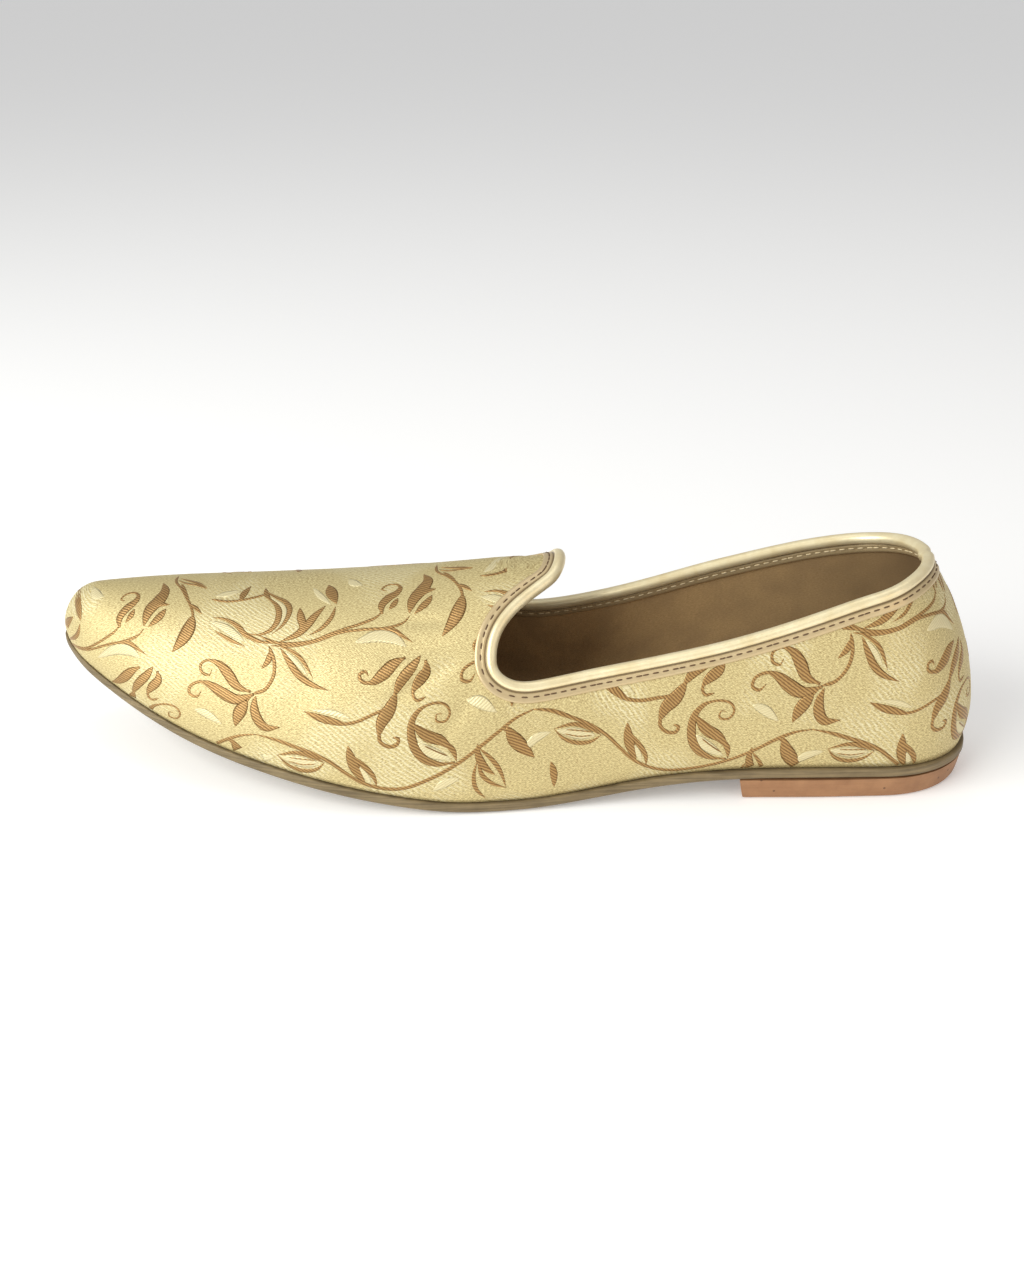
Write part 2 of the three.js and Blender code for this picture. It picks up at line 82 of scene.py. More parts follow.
# %% [markdown]
# A softbox is an area light turned to face the shoe. The key stands in front on the toe's side, because
# that is where the cloth shines most. The world is white to the eye and dimmer to the cloth, so that
# metal thread has something darker to mirror along the ridge.

# %% Lights and world
SHOE_MIDDLE = Vector((0, 0, 0.03))


def add_softbox(name, place, size, power, colour=(1, 1, 1)):
    data = bpy.data.lights.new(name, "AREA")
    data.shape = "RECTANGLE"
    data.size, data.size_y = size
    data.energy = power
    data.color = colour
    light = bpy.data.objects.new(name, data)
    light.location = place
    light.rotation_mode = "QUATERNION"
    light.rotation_quaternion = (SHOE_MIDDLE - Vector(place)).to_track_quat("-Z", "Y")
    scene.collection.objects.link(light)


add_softbox("key", (-0.78, -0.62, 0.66), (1.0, 0.8), 14.0, (0.995, 1.0, 0.96))
add_softbox("fill", (0.8, -0.9, 0.35), (0.8, 0.8), 2.2, (1.0, 0.82, 0.66))
add_softbox("top", (0.1, 0.1, 1.2), (0.8, 0.8), 1.6)

world = bpy.data.worlds.new("room")
scene.world = world
world.use_nodes = True
nodes, links = world.node_tree.nodes, world.node_tree.links
path = nodes.new("ShaderNodeLightPath")
strength = nodes.new("ShaderNodeMapRange")
strength.inputs["To Min"].default_value = 0.42
strength.inputs["To Max"].default_value = 1.0
links.new(path.outputs["Is Camera Ray"], strength.inputs["Value"])
links.new(strength.outputs["Result"], nodes["Background"].inputs["Strength"])
nodes["Background"].inputs["Color"].default_value = (1, 1, 1, 1)
print("three softboxes and a pale room")


# %% [markdown]
# ## Small helpers
# A material is a Principled shader with a few nodes before it. These helpers add a node, join it up and
# set its values in one line each.

# %% Node helpers
def add_node(tree, kind, values=None, **settings):
    node = tree.nodes.new(kind)
    for key, value in settings.items():
        setattr(node, key, value)
    for key, value in (values or {}).items():
        socket = node.inputs[key]
        if hasattr(value, "is_output"):
            tree.links.new(value, socket)
        else:
            socket.default_value = value
    return node


def maths(tree, operation, *values):
    return add_node(tree, "ShaderNodeMath", dict(enumerate(values)), operation=operation).outputs[0]


def times(tree, a, b):
    return maths(tree, "MULTIPLY", a, b)


def plus(tree, a, b):
    return maths(tree, "ADD", a, b)


def noise(tree, place, scale, detail, **more):
    values = {"Vector": place, "Scale": scale, "Detail": detail, **more}
    return add_node(tree, "ShaderNodeTexNoise", values).outputs["Fac"]


def stretch(tree, place, scale):
    return add_node(tree, "ShaderNodeMapping", {"Vector": place, "Scale": scale}).outputs[0]


def mix_colour(tree, factor, a, b):
    node = add_node(tree, "ShaderNodeMix", data_type="RGBA")
    for socket, value in ((node.inputs[0], factor), (node.inputs[6], a), (node.inputs[7], b)):
        if hasattr(value, "is_output"):
            tree.links.new(value, socket)
        else:
            socket.default_value = value
    return node.outputs[2]


def remap(tree, value, low, high, to_low=0.0, to_high=1.0):
    values = {"Value": value, "From Min": low, "From Max": high, "To Min": to_low, "To Max": to_high}
    return add_node(tree, "ShaderNodeMapRange", values).outputs["Result"]


def rgb(red, green, blue):
    """A colour given as it looks on a screen, 0 to 255, as the linear one that a node wants."""
    shares = [c / 255 for c in (red, green, blue)]
    linear = [c / 12.92 if c <= 0.04 else ((c + 0.055) / 1.055) ** 2.4 for c in shares]
    return (*linear, 1.0)


def new_material(name, **values):
    material = bpy.data.materials.new(name)
    material.use_nodes = True
    shader = material.node_tree.nodes["Principled BSDF"]
    for key, value in values.items():
        shader.inputs[key.replace("_", " ")].default_value = value
    return material, material.node_tree, shader


print("helpers ready")


# %% [markdown]
# ## Two shared effects
# `weave` turns cloth coordinates in millimetres into crossing threads: a height and a shade. The brocade
# and the lining use it, each with its own thread count. `grain` is a fine leather grain.

# %% Shader groups
def group_shell(name, inputs, outputs):
    tree = bpy.data.node_groups.new(name, "ShaderNodeTree")
    for label, kind, default in inputs:
        socket = tree.interface.new_socket(label, in_out="INPUT", socket_type=kind)
        if default is not None:
            socket.default_value = default
    for label, kind in outputs:
        tree.interface.new_socket(label, in_out="OUTPUT", socket_type=kind)
    return tree, tree.nodes.new("NodeGroupInput"), tree.nodes.new("NodeGroupOutput")


def make_weave_group():
    inputs = [("Vector", "NodeSocketVector", None), ("Pitch", "NodeSocketFloat", 1.0),
              ("Twill", "NodeSocketFloat", 0.5)]
    outputs = [("Height", "NodeSocketFloat"), ("Shade", "NodeSocketFloat")]
    tree, start, end = group_shell("weave", inputs, outputs)
    place, pitch = start.outputs["Vector"], start.outputs["Pitch"]
    wander = noise(tree, place, 0.35, 3.0)
    split = add_node(tree, "ShaderNodeSeparateXYZ", {"Vector": place})
    across = plus(tree, maths(tree, "DIVIDE", split.outputs["X"], pitch), wander)
    up = plus(tree, maths(tree, "DIVIDE", split.outputs["Y"], pitch), wander)
    warp = maths(tree, "SINE", times(tree, across, 2 * math.pi))
    weft = maths(tree, "SINE", times(tree, up, 2.6 * math.pi))
    plain = times(tree, warp, weft)
    lean = plus(tree, across, times(tree, up, 0.7))
    twill = times(tree, maths(tree, "SINE", times(tree, lean, 2 * math.pi)), start.outputs["Twill"])
    speck = noise(tree, stretch(tree, place, (1.2, 2.7, 1.0)), 1.0, 3.0, Roughness=0.7)
    height = plus(tree, plus(tree, times(tree, plain, 0.4), twill), times(tree, speck, 2.0))
    shade = plus(tree, times(tree, plain, 0.05), speck)
    tree.links.new(remap(tree, height, -0.5, 2.5), end.inputs["Height"])
    tree.links.new(remap(tree, shade, 0.3, 0.7), end.inputs["Shade"])
    return tree


def make_grain_group():
    inputs = [("Vector", "NodeSocketVector", None), ("Size", "NodeSocketFloat", 0.6)]
    outputs = [("Height", "NodeSocketFloat"), ("Mottle", "NodeSocketFloat")]
    tree, start, end = group_shell("grain", inputs, outputs)
    scale = maths(tree, "DIVIDE", 1.0, start.outputs["Size"])
    cells = add_node(tree, "ShaderNodeTexVoronoi", {"Vector": start.outputs["Vector"], "Scale": scale})
    mottle = noise(tree, start.outputs["Vector"], times(tree, scale, 0.12), 5.0, Roughness=0.6)
    tree.links.new(cells.outputs["Distance"], end.inputs["Height"])
    tree.links.new(mottle, end.inputs["Mottle"])
    return tree


WEAVE, GRAIN = make_weave_group(), make_grain_group()


def add_group(tree, group, values):
    return add_node(tree, "ShaderNodeGroup", values, node_tree=group)


def cloth_mm(tree):
    """The piece's own cloth coordinates, in millimetres."""
    source = add_node(tree, "ShaderNodeUVMap", uv_map="cloth").outputs["UV"]
    return add_node(tree, "ShaderNodeVectorMath", {0: source, "Scale": SHEET}, operation="SCALE").outputs[0]


def object_mm(tree):
    """Object coordinates in millimetres."""
    source = add_node(tree, "ShaderNodeTexCoord").outputs["Object"]
    return add_node(tree, "ShaderNodeVectorMath", {0: source, "Scale": 1 / MM}, operation="SCALE").outputs[0]


def bump(tree, shader, height, strength, distance_mm):
    values = {"Height": height, "Strength": strength, "Distance": distance_mm * MM}
    node = add_node(tree, "ShaderNodeBump", values)
    tree.links.new(node.outputs["Normal"], shader.inputs["Normal"])


print("groups:", [g.name for g in bpy.data.node_groups])


# %% [markdown]
# ## The cloth of the upper
# The upper is made as one sheet of brocade pulled over a last. The CAD upper has its shape, but as a
# closed wall of loose triangles. A copy of it is merged, its triangles are paired into quads, and the
# wall is parted into its outer skin, which becomes the brocade, and its inner skin, which becomes the
# lining.

# %% Copy, merge and part the wall
RIM_ANGLE = 40.0
SAME_PLACE = 1e-6


def start_copy(node, name):
    """A free copy of a CAD node's mesh, merged and paired into quads, as the only selected object."""
    bpy.ops.object.select_all(action="DESELECT")
    piece = bpy.data.objects.new(name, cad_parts[node].data.copy())
    piece.data.materials.clear()
    scene.collection.objects.link(piece)
    bpy.context.view_layer.objects.active = piece
    piece.select_set(True)
    bpy.ops.object.mode_set(mode="EDIT")
    bpy.ops.mesh.select_all(action="SELECT")
    bpy.ops.mesh.remove_doubles(threshold=SAME_PLACE)
    bpy.ops.mesh.customdata_custom_splitnormals_clear()
    bpy.ops.mesh.tris_convert_to_quads(face_threshold=math.pi, shape_threshold=math.pi)
    bpy.ops.mesh.select_all(action="DESELECT")
    bpy.ops.object.mode_set(mode="OBJECT")
    return piece


def part_wall(piece, inner_name):
    """Cuts the wall along its sharp rims and keeps its two skins, the larger under the piece's own name."""
    outer_name = piece.name
    bpy.ops.object.mode_set(mode="EDIT")
    bpy.ops.mesh.select_mode(type="EDGE")
    bpy.ops.mesh.edges_select_sharp(sharpness=math.radians(RIM_ANGLE))
    bpy.ops.mesh.edge_split(type="EDGE")
    bpy.ops.mesh.select_all(action="DESELECT")
    bpy.ops.mesh.separate(type="LOOSE")
    bpy.ops.object.mode_set(mode="OBJECT")
    parts = sorted(bpy.context.selected_objects, key=lambda o: sum(f.area for f in o.data.polygons))
    for rim in parts[:-2]:
        bpy.data.objects.remove(rim)
    inner, outer = parts[-2:]
    inner.name = inner_name
    outer.name = outer_name
    for skin in (outer, inner):
        bpy.ops.object.select_all(action="DESELECT")
        bpy.context.view_layer.objects.active = skin
        skin.select_set(True)
        bpy.ops.object.mode_set(mode="EDIT")
        bpy.ops.mesh.select_all(action="SELECT")
        bpy.ops.mesh.remove_doubles(threshold=SAME_PLACE)
        bpy.ops.object.mode_set(mode="OBJECT")
        print(skin.name, len(skin.data.vertices), "points,", len(skin.data.polygons), "faces")
    return outer, inner


upper, lining = part_wall(start_copy("upper", "brocade_upper"), "lining")


# %% [markdown]
# ## Cloth coordinates
# A pattern that follows the cloth needs to know where each point was on the flat sheet. Along the shoe
# that is nearly its own x, and round the heel it is the length of the curve. Up the wall it is the length
# walked from the sole's edge over the skin, which a shortest-path search along the mesh's edges measures.
# The cloth is pulled down into the arch and slanted along the waist, so the sheet's lines bend there.

# %% Measure the sheet
HEEL_CENTRE = (114.0, -1.5)
HEEL_RADIUS = 31.0
RIDGE_ON_CLOTH = 81.0
LEAST_WIDTH = 52.0
ARCH_PULL, ARCH_AT, ARCH_REACH = 9.8, 15.0, 30.0
ARCH_SPREAD, ARCH_TOP, ARCH_BAND = 0.55, 32.0, 8.0
TONGUE_END, RIDGE_BLEND = 40.0, 20.0
WAIST_SHEAR, SHEAR_LEVEL, SHEAR_RAMP = 0.22, 24.0, 50.0
RIDGE_BAND, THROAT_FRONT, GIRTH_DEGREE = 8.0, -8.0, 4
UNREACHED = 1e9


def clamp(value, low=0.0, high=1.0):
    return min(max(value, low), high)


def walked(mesh, sources):
    """Distance in mm over the mesh's edges from the nearest source point."""
    near = [[] for _ in mesh.vertices]
    for edge in mesh.edges:
        a, b = edge.vertices
        length = (mesh.vertices[a].co - mesh.vertices[b].co).length / MM
        near[a].append((b, length))
        near[b].append((a, length))
    reach = [UNREACHED] * len(near)
    queue = [(0.0, s) for s in sources]
    for s in sources:
        reach[s] = 0.0
    heapq.heapify(queue)
    while queue:
        distance, point = heapq.heappop(queue)
        if distance > reach[point]:
            continue
        for other, length in near[point]:
            if distance + length < reach[other] - 1e-9:
                reach[other] = distance + length
                heapq.heappush(queue, (reach[other], other))
    return np.array(reach)


def boundary_loops(mesh):
    """The open borders of a skin, each as vertex numbers in order."""
    count = {}
    for face in mesh.polygons:
        for key in face.edge_keys:
            count[key] = count.get(key, 0) + 1
    near = {}
    for (a, b), faces in count.items():
        if faces == 1:
            near.setdefault(a, []).append(b)
            near.setdefault(b, []).append(a)
    loops, seen = [], set()
    for start in sorted(near):
        if start in seen:
            continue
        loop, here = [], start
        while here is not None:
            loop.append(here)
            seen.add(here)
            here = next((n for n in near[here] if n not in seen), None)
        loops.append(loop)
    return sorted(loops, key=lambda loop: min(mesh.vertices[v].co.z for v in loop))


def round_the_heel(x, y):
    """Length along the shoe in mm, bent round the heel."""
    centre_x, centre_y = HEEL_CENTRE
    if x < centre_x:
        return x
    return centre_x + HEEL_RADIUS * math.atan2(x - centre_x, abs(y - centre_y))


def girth_over(places, outer, inner):
    """The sheet's width over the shoe at each point's x, from one smooth curve through the ridge."""
    ridge = (np.abs(outer - inner) < RIDGE_BAND) & (places[:, 0] < THROAT_FRONT)
    curve = np.polyfit(places[ridge, 0], (outer + inner)[ridge], GIRTH_DEGREE)
    return np.polyval(curve, np.minimum(places[:, 0], THROAT_FRONT))


def feather_sides(mesh, places):
    """The skin's lower edge in two: the shoe's outer side, then its inner one."""
    feather = boundary_loops(mesh)[0]
    tip = min(feather, key=lambda v: places[v, 0])
    back = max(feather, key=lambda v: places[v, 0])
    turn = feather.index(tip)
    feather = feather[turn:] + feather[:turn]
    cut = feather.index(back)
    sides = [feather[:cut + 1], feather[cut:] + feather[:1]]
    return sorted(sides, key=lambda side: places[side, 1].mean())


def lay_cloth(piece):
    """Gives a skin its cloth map: where each corner of its faces lies on the flat sheet."""
    mesh = piece.data
    places = np.array([v.co for v in mesh.vertices]) / MM
    sides = feather_sides(mesh, places)
    outer, inner = (walked(mesh, side) for side in sides)
    order = sorted(sides[0], key=lambda v: places[v, 0])
    foot = np.interp(places[:, 0], places[order, 0], places[order, 2])
    girth = girth_over(places, outer, inner)
    to_ridge = RIDGE_ON_CLOTH / np.maximum(foot + girth / 2, LEAST_WIDTH)
    layer = mesh.uv_layers.new(name="cloth")
    for face in mesh.polygons:
        on_outer = outer[list(face.vertices)].sum() <= inner[list(face.vertices)].sum()
        for corner, v in zip(face.loop_indices, face.vertices):
            along = round_the_heel(places[v, 0], places[v, 1])
            over = 0.0 if on_outer else 1.0
            if places[v, 0] < TONGUE_END:
                over = clamp((outer[v] - inner[v]) / RIDGE_BLEND + 0.5)
            up = (1 - over) * outer[v] + over * (girth[v] - inner[v]) + foot[v]
            up *= to_ridge[v]
            pull = ARCH_PULL + ARCH_SPREAD * clamp(up - ARCH_TOP, 0.0, ARCH_BAND)
            up -= pull * math.exp(-((along - ARCH_AT) / ARCH_REACH) ** 2)
            if up < RIDGE_ON_CLOTH:
                along -= WAIST_SHEAR * (up - SHEAR_LEVEL) * clamp(along / SHEAR_RAMP)
            layer.data[corner].uv = (along / SHEET, up / SHEET)
    while len(mesh.uv_layers) > 1:
        mesh.uv_layers.remove(next(uv for uv in mesh.uv_layers if uv.name != "cloth"))
    print(piece.name, "cloth laid; girth at the throat", round(float(girth.max()), 1), "mm")


lay_cloth(upper)
lay_cloth(lining)


# %% [markdown]
# ## Smooth the skins
# Two rounds of subdivision turn the CAD's facets into a smooth skin, and one is enough for the lining.

# %% Subdivide
def apply_modifier(piece, kind, **settings):
    bpy.ops.object.select_all(action="DESELECT")
    bpy.context.view_layer.objects.active = piece
    piece.select_set(True)
    modifier = piece.modifiers.new(kind.lower(), kind)
    for key, value in settings.items():
        setattr(modifier, key, value)
    bpy.ops.object.modifier_apply(modifier=modifier.name)


apply_modifier(upper, "SUBSURF", levels=2, render_levels=2)
apply_modifier(lining, "SUBSURF", levels=1, render_levels=1)
print("upper faces:", len(upper.data.polygons), "lining faces:", len(lining.data.polygons))


# %% [markdown]
# ## Creases, placed one by one
# Cloth that was pulled over a last and folded at its throat isn't quite smooth. Each soft trough or ridge
# is given here as its depth and width in millimetres and a line on the flat sheet: a depth below zero is
# a trough. The skin is pushed along its normals, and everything laid on it later follows.

# %% Push the creases in
CREASES = [
    # pulls that spread from the throat's outer corner over the vamp
    (-0.70, 2.0, [(-17, 40), (-25, 37), (-34, 33)]),
    (-0.60, 1.9, [(-18, 47), (-27, 46), (-37, 44)]),
    (0.35, 2.0, [(-18, 43.5), (-26, 41.5), (-34, 38.5)]),
    (-0.50, 1.9, [(-17, 54), (-26, 55), (-34, 56)]),
    (-0.60, 2.2, [(-10, 31), (-16, 25), (-22, 18)]),
    # the hollow where the waist turns under, and a dent in the quarter
    (-0.9, 6.5, [(-4, 12), (14, 10), (34, 9), (52, 10)]),
    (-0.6, 6.0, [(12, 30), (30, 26), (46, 25)]),
    (0.4, 5.0, [(20, 19), (40, 18), (60, 18)]),
    # where the toes bend, and the gathers over the toe's edge
    (-0.45, 5.0, [(-66, 28), (-60, 40), (-57, 54)]),
    (-0.25, 1.6, [(-131, 9), (-127, 16), (-122, 22)]),
    (-0.25, 1.8, [(-121, 7), (-117, 14), (-114, 20)]),
    (-0.25, 1.8, [(-108, 5), (-104, 11), (-101, 17)]),
    # on the inner side: pulls from the throat, the waist, the toes' bend and a dent in the quarter
    (-0.45, 2.2, [(-16, 118), (-25, 122), (-33, 127)]),
    (-0.35, 2.0, [(-17, 110), (-27, 111), (-35, 113)]),
    (-0.8, 6.5, [(0, 150), (18, 152), (40, 153)]),
    (-0.45, 5.0, [(-62, 132), (-58, 120), (-56, 106)]),
    (-0.5, 6.0, [(14, 134), (30, 137), (44, 138)]),
]
# the seam up the middle of the back, where the sheet's two ends meet
SEAM_DEPTH, SEAM_WIDTH = -0.8, 1.3
# a crease is a bell in section, left out past this many widths, and it fades towards its line's ends
BELL_REACH = 3
FADE_FROM, FADE_SPAN = 0.12, 0.76


def off_line(spot, points):
    """How far a sheet point lies from a broken line, and its share of the way along it."""
    best = (UNREACHED, 0.0)
    for k, (a, b) in enumerate(zip(points, points[1:])):
        a, b = Vector(a), Vector(b)
        share = clamp((spot - a).dot(b - a) / (b - a).length_squared)
        best = min(best, ((spot - a.lerp(b, share)).length, (k + share) / (len(points) - 1)))
    return best


def bell(away, width):
    return math.exp(-(away / width) ** 2)


def crease_cloth(piece, outwards):
    """Pushes a skin by the creases; outwards is 1 if its normals face out of the shoe, else -1."""
    mesh = piece.data
    layer = mesh.uv_layers["cloth"].data
    spots = {loop.vertex_index: Vector(layer[loop.index].uv) * SHEET for loop in mesh.loops}
    normals = {v: mesh.vertices[v].normal.copy() for v in spots}
    deepest = 0.0
    for v, spot in spots.items():
        push = 0.0
        for depth, width, points in CREASES:
            away, share = off_line(spot, points)
            if away < BELL_REACH * width:
                push += depth * bell(away, width) * math.sin(math.pi * (FADE_FROM + FADE_SPAN * share))
        place = mesh.vertices[v].co / MM
        if place.x > HEEL_CENTRE[0]:
            push += SEAM_DEPTH * bell(place.y - HEEL_CENTRE[1], SEAM_WIDTH)
        mesh.vertices[v].co += normals[v] * (outwards * push * MM)
        deepest = min(deepest, push)
    print(len(CREASES), "creases, the deepest", round(deepest, 2), "mm")


crease_cloth(upper, 1)
crease_cloth(lining, -1)


# %% [markdown]
# ## A map from the flat sheet to the shoe
# To draw the woven vine, each point of a motif on the flat sheet is looked up on the smooth skin. A
# search tree over the skin's cloth coordinates finds the face that a sheet point falls in, and the
# point's place in that face gives its place and normal on the shoe.

# %% Sheet to shoe
class Sheet:
    def __init__(self, mesh):
        mesh.calc_loop_triangles()
        layer = mesh.uv_layers["cloth"].data
        flat, triangles = [], []
        self.corners = []
        for triangle in mesh.loop_triangles:
            base = len(flat)
            flat.extend(Vector((*layer[corner].uv, 0)) * SHEET for corner in triangle.loops)
            triangles.append((base, base + 1, base + 2))
            self.corners.append([mesh.vertices[v] for v in triangle.vertices])
        self.flat = flat
        self.tree = BVHTree.FromPolygons(flat, triangles)

    def find(self, along, up):
        """The place and normal on the shoe of a point of the sheet, or None off the cloth."""
        hit, _, index, _ = self.tree.ray_cast(Vector((along, up, 1)), Vector((0, 0, -1)))
        if hit is None:
            return None
        a, b, c = self.flat[3 * index:3 * index + 3]
        whole = (b - a).cross(c - a).z
        share_b = (hit - a).cross(c - a).z / whole
        share_c = (b - a).cross(hit - a).z / whole
        shares = (1 - share_b - share_c, share_b, share_c)
        place, normal = Vector(), Vector()
        for share, vertex in zip(shares, self.corners[index]):
            place += share * vertex.co
            normal += share * vertex.normal
        return place, normal.normalized()


sheet = Sheet(upper.data)
print("sheet point (-40, 40) lies at", sheet.find(-40, 40)[0])
